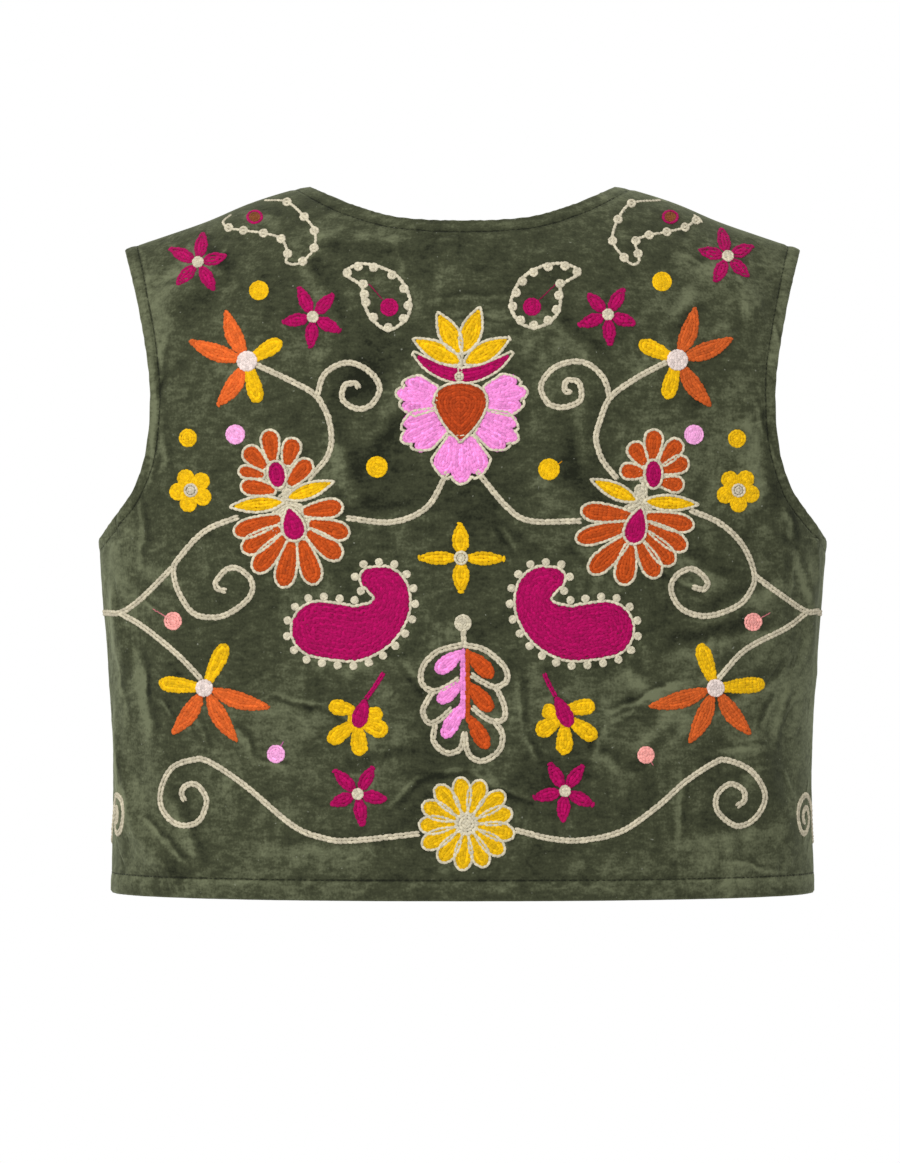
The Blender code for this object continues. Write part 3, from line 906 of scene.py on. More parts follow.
rightFlower = {
    "middles": ((114.4, -152.5, 9.5), (104.8, -182.0, 12.5), (107.5, -168.5, 5.0), (107.0, -163.0, 4.2)),
    "drops": (((114.3, -144.9), (114.3, -160.8), 4.8), ((106.8, -173.0), (101.2, -194.1), 6.2)),
    "petals": (
        ((113.4, -144.5), (115.2, -126.6), 5.0), ((119.4, -146.5), (130.2, -132.9), 4.8),
        ((109.4, -147.4), (101.6, -134.6), 4.8), ((109.4, -152.4), (95.2, -150.4), 4.4),
        ((119.4, -150.8), (134.8, -145.0), 4.8), ((118.2, -157.6), (132.0, -159.6), 4.4),
        ((101.4, -178.0), (71.7, -174.7), 5.2), ((101.8, -182.9), (68.6, -191.9), 5.2),
        ((99.5, -190.6), (76.8, -211.4), 5.6), ((100.6, -194.8), (96.2, -218.6), 5.8),
        ((105.5, -193.1), (116.6, -214.2), 5.4), ((108.8, -188.4), (126.0, -206.4), 5.4),
        ((110.2, -183.0), (133.8, -197.2), 5.2), ((109.8, -177.9), (138.0, -183.8), 5.0),
    ),
    "leaves": (((104.4, -168.7), (77.8, -156.4), 4.2), ((109.4, -169.2), (140.4, -171.0), 4.1)),
}
# Spine and half width of the big paisley, right side; the left one is its mirror image
paisleySpine = (
    (86.0, -245.8, 16.0), (75.0, -247.4, 16.2), (63.5, -248.4, 15.3), (52.0, -243.9, 13.2),
    (44.2, -235.2, 11.2), (42.4, -227.4, 10.2), (44.2, -221.2, 10.0), (48.6, -217.0, 8.7),
    (54.8, -215.4, 6.0),
)
heart = {
    "x": -1.1, "top": -98.5, "widest": -109.8, "point": -132.6, "half": 15.4, "topRound": 0.8, "bulge": 0.75,
    "lower": 2,
}
centrePetals = (  # base, end, half width at base and end
    ((-15.4, -107.4), (-39.6, -104.0), 7.0, 12.4), ((-12.4, -120.2), (-36.2, -132.6), 8.2, 12.8),
    ((-1.1, -129.6), (-0.7, -158.4), 7.6, 18.0), ((10.6, -121.4), (33.0, -132.2), 8.2, 12.4),
    ((13.8, -107.4), (38.6, -103.2), 7.4, 12.8),
)
centreLeaves = (
    ((-1.6, -80.5), (-14.6, -56.6), 5.6), ((0.6, -80.0), (10.2, -53.4), 5.8),
    ((-1.0, -86.4), (-29.0, -72.0), 5.3), ((1.4, -86.4), (27.6, -71.6), 5.5),
)
leafLobes = (  # thread, base, end, half width
    ("pink", (0.8, -258.5), (-15.9, -271.5), 4.9), ("pink", (0.8, -276.5), (-14.6, -289.5), 4.4),
    ("pink", (0.8, -289.5), (-11.2, -311.0), 4.5), ("orange", (2.4, -258.8), (18.0, -274.4), 4.9),
    ("orange", (2.6, -277.2), (17.5, -294.8), 4.9), ("orange", (3.4, -297.0), (14.9, -317.2), 4.7),
)
leafOutline = (
    ((0.3, -255), (-14.7, -259.1), (-23.7, -268.2), (-24.4, -278), (-17.8, -283), (-9.5, -280.4),
     (-2.2, -275.6)),
    ((-17.8, -283), (-23.7, -294.5), (-20.3, -301.9), (-14.4, -300.5), (-6.3, -293.6)),
    ((-16.4, -302.6), (-17.2, -313.2), (-9.6, -320), (-1.4, -317.5), (1.2, -307.7)),
    ((0.5, -255), (13.4, -258.3), (24.9, -268.1), (26.6, -276.4), (20, -280.5), (12.4, -277.6),
     (5.2, -273.1)),
    ((20, -280.5), (24.9, -291.2), (24.9, -299.4), (18.3, -301), (11.5, -297.4), (6, -292.6)),
    ((19.3, -301), (24, -309.3), (21.6, -319.1), (11.7, -324.9), (3.6, -320.4), (1.2, -307.7)),
)
bells = (  # small flowers with a magenta pistil: yellow petals, pistil, end of its stem
    ((((-64.6, -294.8), (-79.9, -291.6), 4.6), ((-65.3, -302.3), (-80.2, -313.6), 4.8),
      ((-63.0, -303.5), (-61.4, -321.6), 5.0), ((-61.0, -301.0), (-45.0, -307.8), 5.4),
      ((-60.5, -297.5), (-48.0, -297.0), 4.6)), ((-57.8, -287.4), (-63.2, -304.6), 4.6), (-47.5, -272.3)),
    ((((62.2, -294.0), (79.4, -291.6), 4.8), ((64.8, -300.4), (80.2, -311.4), 4.8),
      ((61.4, -303.4), (61.0, -321.0), 5.0), ((58.2, -300.0), (44.6, -308.4), 5.2),
      ((58.0, -296.0), (48.0, -294.6), 4.4)), ((55.8, -286.0), (64.6, -304.0), 4.6), (49.0, -272.6)),
)
daisy = {"x": 2.4, "z": -362.6, "reach": 28.8, "squeeze": 0.94, "petals": 13, "half": 4.9, "turn": 98}
cross = {"x": -0.9, "z": -203.1, "ends": ((-1.5, -180.9), (-28.5, -203.1), (-0.9, -225.3), (27.3, -203.7)),
         "halves": (5.0, 4.2, 5.0, 4.2)}


def ribbonShape(spine, inset=0.0):
    # outline round a bent form whose half width changes along it, with a round cap at both ends
    known = smoothCurve(spine)
    known = known[known[:, 2] > inset + 0.25]
    if len(known) < 3:
        return known[:, :2]
    middle = known[:, :2]
    half = known[:, 2] - inset
    left = sideways(middle)
    ahead = np.column_stack([left[:, 1], -left[:, 0]])
    sweep = np.linspace(-1, 1, 15)[1:-1] * math.pi / 2

    def cap(k, out):
        rays = [math.cos(angle) * ahead[k] + math.sin(angle) * left[k] for angle in sweep]
        return [middle[k] + half[k] * out * ray for ray in rays]

    outline = list(middle - half[:, None] * left) + cap(-1, 1)
    outline += list((middle + half[:, None] * left)[::-1]) + cap(0, -1)
    outline = np.array(outline)
    gaps = np.linalg.norm(outline[:, None] - middle[None], axis=2) - half[None]
    return outline[gaps.min(axis=1) > -0.3]


def bigPaisley(panel, side):
    mirror = np.array([side, 1])
    fill(panel, "magenta", lambda inset: ribbonShape(paisleySpine, inset) * mirror, 16.6, wobble=0.5)
    spine = smoothCurve(paisleySpine)
    left = sideways(spine[:, :2])
    # rows down the middle close the gaps where the bend spreads the others
    for shift in np.arange(-6.8, 6.9, stitch["row"]):
        kept = spine[:, 2] > abs(shift) + 1.5
        addRow(panel, "magenta", (spine[:, :2] + left * shift)[kept] * mirror, lift=-0.12)
    addRow(panel, "cream", ribbonShape(paisleySpine, -0.9) * mirror, True, width=2.3)
    outline = ribbonShape(paisleySpine) * mirror
    for x, z in evenPoints(ribbonShape(paisleySpine, -3.7) * mirror, 9.5, True):
        if np.linalg.norm(outline - np.array([x, z]), axis=1).min() > 3.2:
            bead(panel, x, z, 2.2)


def heartShape(inset):
    t = np.linspace(0, 2 * math.pi, 61)[:-1]
    across = np.sin(t)
    up = np.cos(t)
    share = 1 - inset / heart["half"]
    rising = (heart["top"] - heart["widest"]) * share * np.abs(up) ** heart["topRound"]
    down = np.clip(np.abs(t - math.pi) / (math.pi / 2), 0, 1)  # 0 at the point, 1 at the widest
    falling = (heart["widest"] - heart["point"]) * share * (1 - down)
    width = np.where(up > 0, across, np.sign(across) * down * (1 + heart["bulge"] * (1 - down)))
    height = heart["widest"] - heart["lower"] * (1 - share) + np.where(up > 0, rising, -falling)
    return np.column_stack([heart["x"] + (heart["half"] - inset) * width, height])


fanPetal = {
    "lobes": 3, "shorter": 3.0, "scallop": 3.4, "scallopRound": 0.6, "edgeFall": 0.4, "loopFall": 0.38,
    "loopGap": 0.5, "loopWider": 0.5,
}


def scallopPetal(panel, base, end, baseHalf, endHalf):
    # a fan petal of long loops side by side, with a scalloped cream outline
    base, end, length, along, aside = frameOf(base, end)
    lobes = fanPetal["lobes"]
    t = np.linspace(-1, 1, 43)
    waves = np.abs(np.cos(math.pi * lobes * (t + 1) / 2 + math.pi / 2)) ** fanPetal["scallopRound"]
    reach = length - fanPetal["shorter"] - fanPetal["edgeFall"] * length * t**2 + fanPetal["scallop"] * waves
    outer = base + reach[:, None] * along + (endHalf * t)[:, None] * aside
    outline = np.vstack([outer, [base + baseHalf * aside, base - baseHalf * aside]])
    for k in range(lobes):
        share = 2 * (k + 0.5) / lobes - 1
        near = base + share * baseHalf * aside
        loop = length - fanPetal["loopGap"] - fanPetal["loopFall"] * length * share**2
        far = base + loop * along + share * endHalf * aside
        petal(panel, "pink", near, far, endHalf / lobes + fanPetal["loopWider"], "round")
    addRow(panel, "cream", outline, True, width=2.1, lift=0.2)


def centreFlower(panel):
    for base, end, baseHalf, endHalf in centrePetals:
        scallopPetal(panel, base, end, baseHalf, endHalf)
    for base, end, half in centreLeaves:
        petal(panel, "yellow", base, end, half, "pointed", outlined=True)
    bowl = ((-28.6, -80.6, 0.6), (-20.5, -87.0, 2.9), (-10.0, -91.9, 3.9), (0.0, -93.6, 4.2),
            (10.0, -91.9, 3.9), (20.5, -87.0, 2.9), (29.0, -80.6, 0.6))
    fill(panel, "magenta", lambda inset: ribbonShape(bowl, inset), 4.0)
    addRow(panel, "cream", ribbonShape(bowl, -0.6), True, width=2.0)
    fill(panel, "orange", heartShape, heart["half"], tint=tints["heart"], lift=0.3)
    addRow(panel, "cream", heartShape(-0.7), True, width=1.9, lift=0.95)
    vine(panel, ((-1.0, -79.5), (-1.6, -91.5)), gap=1.6, curved=False)
    flowerMiddle(panel, -2.0, -94.4, 3.3, rowGap=1.6)


def leafWithLobes(panel):
    disc(panel, "cream", 0.3, -242.1, 5.1, rowGap=1.6, width=2.1, pitch=2.4)
    vine(panel, ((0.5, -247.0), (0.8, -255.5)), gap=1.5, curved=False)
    petal(panel, "pink", (0.3, -257.0), (0.5, -300.5), 1.7, "oval")
    petal(panel, "orange", (2.9, -257.0), (3.1, -303.0), 1.4, "oval", tint=tints["leafOrange"])
    for thread, base, end, half in leafLobes:
        tint = tints["leafOrange" if thread == "orange" else "plain"]
        petal(panel, thread, base, end, half, "drop", tint=tint)
    for points in leafOutline:
        vine(panel, points, gap=1.8, width=2.3)


def bell(panel, petals, pistil, stemEnd):
    middleX, middleZ = np.mean([base for base, end, half in petals], axis=0)
    disc(panel, "yellow", middleX, middleZ, 6.0, lift=-0.15)
    for base, end, half in petals:
        petal(panel, "yellow", base, end, half, "round")
    base, end, half = pistil
    petal(panel, "magenta", base, end, half, "drop", lift=0.7)
    halfWay = ((base[0] + stemEnd[0]) / 2, (base[1] + stemEnd[1]) / 2 - 0.6)
    stem = smoothCurve([base, halfWay, stemEnd])
    left = sideways(stem)
    for shift in (-0.7, 0.7):
        addRow(panel, "magenta", stem + left * shift, width=1.8)


def daisyFlower(panel):
    count = daisy["petals"]
    middle = np.array([daisy["x"], daisy["z"]])
    for k in range(count):
        angle = math.radians(daisy["turn"] + 360 / count * k + chance.uniform(-2, 2))
        ray = np.array([math.cos(angle), math.sin(angle) * daisy["squeeze"]])
        end = middle + ray * daisy["reach"] * chance.uniform(0.96, 1.03)
        petal(panel, "yellow", middle + ray * 6.0, end, daisy["half"], "drop", outlined=True,
              edge=2.0, tint=tints["daisy"])
    disc(panel, "cream", daisy["x"], daisy["z"], 6.8, rowGap=1.7, lift=0.2)


def fiveFlower(panel, x, z, turn):
    for k in range(5):
        angle = math.radians(turn - 72 * k)
        disc(panel, "yellow", x + 8.0 * math.cos(angle), z + 8.0 * math.sin(angle), 5.0, rowGap=1.6)
    flowerMiddle(panel, x, z, 4.3, tint=tints["fiveMiddle"])


def crossFlower(panel):
    middle = np.array([cross["x"], cross["z"]])
    for end, half in zip(cross["ends"], cross["halves"]):
        start = middle + (np.array(end) - middle) * 0.06
        petal(panel, "yellow", start, end, half, "pointed")
    flowerMiddle(panel, middle[0], middle[1], 4.4, lift=0.6)


def sideCurls(panel, side):
    turn = np.linspace(0, 2 * math.pi * sideCurl["turns"], 60)
    reach = sideCurl["radius"] * (1 - 0.86 * (turn / turn[-1]) ** 0.9)
    facing = panel["facing"]
    y = sideCurl["y"] + reach * np.cos(turn)
    z = sideCurl["z"] + reach * np.sin(turn)
    below = sideCurl["radius"]
    lead = smoothCurve([(-1.0, z[0] - below), (0.55 * y[0], z[0] - 0.8 * below), (y[0], z[0])])
    points = np.vstack([lead[:-1], np.column_stack([y, z])])
    points[:, 0] *= -facing
    vine(panel, points, side=side, curved=False)
    stem = np.array(sideStem) * np.array([-facing, 1])
    vine(panel, stem, side=side)


def fits(panel, points):
    # whether the whole motif lies on the cloth, away from the finished edges
    for x, z in points:
        place, normal = seen(panel, x, z)
        if place is None or panel["edges"].find(place)[2] < 5:
            return False
    return True


def edgeTree(points, isBack):
    lines = [points[:, 0], points[:, -1], points[-1]]
    if not isBack:
        lines.append(points[0])
    return searchTree(lines, 2.0)


def embroider(panel, sides):
    # the design of one panel: the back has all of it, and a front the outer half of it
    whole = len(sides) == 2
    for points in vines:
        known = np.array(points)
        onSide = whole or np.sign(known[:, 0].mean()) == sides[0]
        if onSide and (whole or fits(panel, [p for p in points if abs(p[0]) < 200])):
            vine(panel, points)
    if whole:
        centreFlower(panel)
        leafWithLobes(panel)
        crossFlower(panel)
        daisyFlower(panel)
    for side in sides:
        bigPaisley(panel, side)
        shoulderPaisley(panel, side)
        sideCurls(panel, side)
        flower = leftFlower if side < 0 else rightFlower
        sideFlower(panel, **flower)
        beads = innerBeads["left" if side < 0 else "right"]
        if fits(panel, beads):
            beadedPaisley(panel, beads, 1.3)
            middle = (-43.9, -52.7) if side < 0 else (41.7, -52.4)
            dot(panel, "magenta", middle[0], middle[1], 5.4, tail=(side * 56.0, -38.8))
    for x, z, reach, turn in stars:
        if np.sign(x) in sides:
            star(panel, x, z, reach, turn)
    for middle, radius, lightness, orangeEnds, yellowEnds in lilies:
        if np.sign(middle[0]) in sides:
            lily(panel, middle, radius, lightness, orangeEnds, yellowEnds)
    for thread, x, z, radius, tail in dots:
        if np.sign(x) in sides:
            dot(panel, thread, x, z, radius, tail, tints["pinkDot" if thread == "pink" else "plain"])
    for x, z, turn in yellowFlowers:
        if np.sign(x) in sides:
            fiveFlower(panel, x, z, turn)
    for petals, pistil, stemEnd in bells:
        if np.sign(stemEnd[0]) in sides:
            bell(panel, petals, pistil, stemEnd)


panels = []
for name, tree, points, fields, sides in (
    ("back", backTree, backPoints, backFields, (-1, 1)),
    ("front_left", leftTree, leftPoints, frontFields, (-1,)),
    ("front_right", rightTree, rightPoints, frontFields, (1,)),
):
    isBack = name == "back"
    panels.append({
        "name": name, "isBack": isBack, "facing": -1 if isBack else 1, "tree": tree,
        "points": points, "fields": fields, "edges": edgeTree(points, isBack), "sides": sides,
    })
for panel in panels:
    embroider(panel, panel["sides"])
print("embroidery drawn:", sum(len(rows) for rows in work.values()), "rows")


# One stitch, 1 long, 1 wide and 1 high: a low dome, narrower at the end where the thread goes down
link = {"sides": 7, "shoulder": 0.66, "topShare": 0.8, "narrowing": 0.28}


def modelLink():
    deselectAll()
    bpy.ops.mesh.primitive_cylinder_add(
        vertices=link["sides"], radius=0.5, depth=link["shoulder"], location=(0, 0, link["shoulder"] / 2)
    )
    piece = bpy.context.object
    bpy.ops.object.transform_apply(location=True)
    for face in piece.data.polygons:
        face.select = face.normal.z > 0.9
    for vertex in piece.data.vertices:
        vertex.select = vertex.co.z > link["shoulder"] / 2
    for edge in piece.data.edges:
        edge.select = all(piece.data.vertices[end].select for end in edge.vertices)
    bpy.ops.object.mode_set(mode="EDIT")
    bpy.ops.mesh.select_mode(type="FACE")
    bpy.ops.transform.resize(value=(link["topShare"], link["topShare"], 1), center_override=(0, 0, 1))
    bpy.ops.mesh.poke(offset=1 - link["shoulder"])
    bpy.ops.object.mode_set(mode="OBJECT")
    for vertex in piece.data.vertices:
        if vertex.co.x < 0:
            vertex.co.y *= 1 + link["narrowing"] * vertex.co.x
    return piece


def linkParts():
    piece = modelLink()
    corners = np.array([vertex.co for vertex in piece.data.vertices])
    faces = [list(face.vertices) for face in piece.data.polygons]
    bpy.data.objects.remove(piece, do_unlink=True)
    return corners, faces


linkCorners, linkFaces = linkParts()


def joinLinks(name, rows):
    # one mesh of all the links of a colour on a panel
    middle, ahead, upward, sizes, shades = [np.vstack([row[k] for row in rows]) for k in range(5)]
    turn = chance.normal(0, stitch["turnJitter"], (len(middle), 1))
    aside = np.cross(upward, ahead)
    turnedAhead = ahead * np.cos(turn) + aside * np.sin(turn)
    turnedAside = aside * np.cos(turn) - ahead * np.sin(turn)
    count = len(linkCorners)
    scale = sizes * np.array([1, 1, stitch["height"] + stitch["sunk"]])
    local = linkCorners[None] * scale[:, None]
    places = middle[:, None] + local[..., :1] * turnedAhead[:, None] + local[..., 1:2] * turnedAside[:, None]
    places = places + (local[..., 2:] - stitch["sunk"]) * upward[:, None]
    places = places.reshape(-1, 3) * mm
    sizesOfFaces = np.tile([len(face) for face in linkFaces], len(middle))
    corner = np.concatenate([np.array(face) for face in linkFaces])
    indices = (np.arange(len(middle))[:, None] * count + corner[None]).ravel()
    mesh = bpy.data.meshes.new(name)
    mesh.vertices.add(len(places))
    mesh.vertices.foreach_set("co", places.astype(np.float32).ravel())
    mesh.loops.add(len(indices))
    mesh.loops.foreach_set("vertex_index", indices.astype(np.int32))
    mesh.polygons.add(len(sizesOfFaces))
    starts = np.concatenate([[0], np.cumsum(sizesOfFaces)[:-1]])
    mesh.polygons.foreach_set("loop_start", starts.astype(np.int32))
    mesh.update(calc_edges=True)
    mesh.validate()
    mesh.shade_smooth()
    shades = np.repeat(np.column_stack([shades, np.ones(len(shades))]), count, axis=0)
    addAttribute(mesh, "tint", shades, "FLOAT_COLOR", "color")
    addAttribute(mesh, "twist", local[..., 0] + 0.8 * np.abs(local[..., 1]))
    piece = bpy.data.objects.new(name, mesh)
    bpy.context.scene.collection.objects.link(piece)
    return piece


# Topstitching: running stitches of sewing thread along the finished edges
topstitch = {
    "length": 2.7, "pitch": 3.3, "width": 0.55, "height": 0.5, "shadeJitter": 0.15,
    "searched": 40, "searchedAtNeck": 60, "openingRows": (10, -14),
}


def insetLine(points, away, inset):
    # where each line of the grid, starting at an edge, is a distance in from it
    places = []
    for line, distance in zip(points, away):
        rising = np.maximum.accumulate(distance)
        if rising[0] < inset < rising[-1]:
            places.append([np.interp(inset, rising, line[:, k]) for k in range(3)])
    return np.array(places)


def runStitches(panel, edge, lines, away):
    # a row of running stitches on the cloth, its distance in from a finished edge
    middle = evenPoints(insetLine(lines, away, finish[edge]["inset"]), topstitch["pitch"])
    upward = np.array([panel["tree"].find_nearest(Vector(place))[1] for place in middle])
    ahead = unit(np.gradient(middle, axis=0))
    count = len(middle)
    sizes = np.tile([topstitch["length"], topstitch["width"], topstitch["height"]], (count, 1))
    jitter = topstitch["shadeJitter"]
    shades = np.ones((count, 3)) * chance.uniform(1 - jitter, 1 + jitter, (count, 1))
    work.setdefault((panel["name"], "green"), []).append((middle, ahead, upward, sizes, shades))


def topstitchPanel(panel):
    # the hem, the neck, an armhole, and the back's other armhole or the front's opening
    points = panel["points"]
    fields = panel["fields"]
    inner = slice(0, topstitch["searched"])
    outer = slice(None, -topstitch["searched"], -1)
    high = slice(None, -topstitch["searchedAtNeck"], -1)
    neck = np.abs(columnsOf(panel["isBack"])) <= neckColumn - 0.004
    rows = points[-1, :, 2] >= cut["underarm"] + 1
    byRow = points.transpose(1, 0, 2)
    runStitches(panel, "hem", points[:, inner], fields["hem"][:, inner])
    runStitches(panel, "neck", points[neck, high], fields["neck"][neck, high])
    runStitches(panel, "armhole", byRow[rows, outer], fields["armhole"].T[rows, outer])
    if panel["isBack"]:
        runStitches(panel, "armhole", byRow[rows, inner], fields["armhole"].T[rows, inner])
    else:
        rows = slice(*topstitch["openingRows"])
        runStitches(panel, "opening", byRow[rows, inner], fields["opening"].T[rows, inner])


for panel in panels:
    topstitchPanel(panel)


# Materials
def wire(tree, start, end):
    tree.links.new(start, end)


def setInputs(tree, node, inputs):
    # gives each input another node's output or a plain value
    for name, value in inputs.items():
        if isinstance(value, bpy.types.NodeSocket):
            wire(tree, value, node.inputs[name])
        else:
            node.inputs[name].default_value = value


def addNode(tree, kind, inputs=None, **settings):
    node = tree.nodes.new("ShaderNode" + kind)
    for name, value in settings.items():
        setattr(node, name, value)
    setInputs(tree, node, inputs or {})
    return node


def calculate(tree, operation, *values, kind="Math", result=0):
    # the result of a math node on outputs or plain values
    return addNode(tree, kind, dict(enumerate(values)), operation=operation).outputs[result]


def noise(tree, place, scale, detail, **more):
    inputs = {"Vector": place, "Scale": scale, "Detail": detail, **more}
    return addNode(tree, "TexNoise", inputs).outputs["Fac"]


def mapRange(tree, value, low, high, newLow, newHigh, smooth=False):
    inputs = {"Value": value, "From Min": low, "From Max": high, "To Min": newLow, "To Max": newHigh}
    steps = "SMOOTHSTEP" if smooth else "LINEAR"
    return addNode(tree, "MapRange", inputs, interpolation_type=steps).outputs[0]


def mixColours(tree, share, first, second):
    inputs = {"Factor": share, "A": first, "B": second}
    return addNode(tree, "Mix", inputs, data_type="RGBA").outputs["Result"]


def bump(tree, height, strength, distance, invert=False, **under):
    inputs = {"Height": height, "Strength": strength, "Distance": distance, **under}
    return addNode(tree, "Bump", inputs, invert=invert).outputs[0]


def readAttribute(tree, name, output="Fac"):
    return addNode(tree, "Attribute", attribute_name=name).outputs[output]


def objectPlace(tree):
    return addNode(tree, "TexCoord").outputs["Object"]


def newGroup(name, inputs, outputs):
    # a node group; an input with no value is a vector, and all the outputs are plain values
    group = bpy.data.node_groups.new(name, "ShaderNodeTree")
    for label, value in inputs.items():
        kind = "NodeSocketVector" if value is None else "NodeSocketFloat"
        socket = group.interface.new_socket(name=label, in_out="INPUT", socket_type=kind)
        if value is not None:
            socket.default_value = value
    for label in outputs:
        group.interface.new_socket(name=label, in_out="OUTPUT", socket_type="NodeSocketFloat")
    start = group.nodes.new("NodeGroupInput")
    end = group.nodes.new("NodeGroupOutput")
    return group, start.outputs, end


def makeClothGrain():
    # fine crosswise grain and specks of pile, as grey values round 0.5
    inputs = {"Vector": None, "Fine": 900.0, "Stretch": 5.0}
    group, given, end = newGroup("cloth grain", inputs, ("Grain", "Specks"))
    stretch = addNode(group, "CombineXYZ", {0: 1.0, 1: 1.0, 2: given["Stretch"]}).outputs[0]
    place = calculate(group, "MULTIPLY", given["Vector"], stretch, kind="VectorMath")
    coarse = calculate(group, "MULTIPLY", given["Fine"], 0.22)
    grain = noise(group, place, coarse, 3)
    specks = noise(group, given["Vector"], given["Fine"], 2)
    setInputs(group, end, {"Grain": grain, "Specks": specks})
    return group


def makeThreadTwist():
    # ridges of a twisted thread, from the place along each stitch
    group, given, end = newGroup("thread twist", {"Turns": 9.0}, ("Ridge",))
    turned = calculate(group, "MULTIPLY", readAttribute(group, "twist"), given["Turns"])
    ridge = calculate(group, "MULTIPLY_ADD", calculate(group, "SINE", turned), 0.5, 0.5)
    setInputs(group, end, {"Ridge": ridge})
    return group


clothGrain = makeClothGrain()
threadTwist = makeThreadTwist()


def newMaterial(name):
    material = bpy.data.materials.new(name)
    material.use_nodes = True
    tree = material.node_tree
    return material, tree, tree.nodes["Principled BSDF"]


velvetLook = {
    "darkest": (0.012, 0.014, 0.007, 1), "mid": (0.046, 0.051, 0.026, 1), "light": (0.135, 0.147, 0.083, 1),
    "lint": (0.3, 0.31, 0.25, 1), "lintSize": 420, "edgeSheenReach": 1.4,
    "roughness": 0.9, "specular": 0.12, "sheen": 0.46, "sheenRoughness": 0.4,
    "sheenTint": (0.42, 0.46, 0.30, 1),
    "cloud": 16.0, "mottle": 82.0, "streak": 190.0, "streakStretch": 0.2, "grain": 720.0, "grainStretch": 2.5,
    "cloudShare": 0.23, "mottleShare": 0.15, "streakShare": 0.2, "grainShare": 0.75, "speckShare": 0.6,
    "wrinkle": 17.0, "wrinkleHalf": 0.05, "wrinkleHighlightShare": 0.34,
    "creaseSize": 45, "creaseWander": 0.012, "creaseLight": 0.42, "shadowBeside": 1.5, "shadowShare": 0.85,
    "stitchLineShade": 0.42, "stitchHalf": 1.0, "stitchBreaks": 260,
}


def makeCrushedNap():
    # uneven lightness of a crushed pile round zero: clouds, blotches and streaks down the cloth, and
    # wrinkles, whose ridges are also painted lighter as highlights
    outputs = ("Clouds", "Blotches", "Streaks", "Wrinkles")
    group, given, end = newGroup("crushed nap", {"Vector": None}, outputs)
    place = given["Vector"]

    def patches(vector, scale, detail, roughness, low, high):
        value = noise(group, vector, scale, detail, Roughness=roughness, Distortion=0.35)
        return mapRange(group, value, low, high, -0.5, 0.5)

    squeeze = {"Vector": place, "Scale": (1, 1, velvetLook["streakStretch"])}
    squeezed = addNode(group, "Mapping", squeeze).outputs[0]
    clouds = patches(place, velvetLook["cloud"], 4, 0.55, 0.33, 0.67)
    blotches = patches(place, velvetLook["mottle"], 7, 0.68, 0.3, 0.7)
    streaks = patches(squeezed, velvetLook["streak"], 4, 0.6, 0.32, 0.68)
    smaller = patches(place, velvetLook["cloud"] * 1.7, 3, 0.5, 0.4, 0.6)
    streaks = calculate(group, "MULTIPLY", streaks, calculate(group, "ADD", smaller, 0.65))
    wandering = noise(group, place, velvetLook["wrinkle"], 3, Distortion=0.9)
    away = calculate(group, "ABSOLUTE", calculate(group, "SUBTRACT", wandering, 0.5))
    ridge = mapRange(group, away, 0.0, velvetLook["wrinkleHalf"], 1.0, 0.0, smooth=True)
    wrinkles = calculate(group, "MULTIPLY", ridge, smaller)
    setInputs(group, end, {"Clouds": clouds, "Blotches": blotches, "Streaks": streaks, "Wrinkles": wrinkles})
    return group


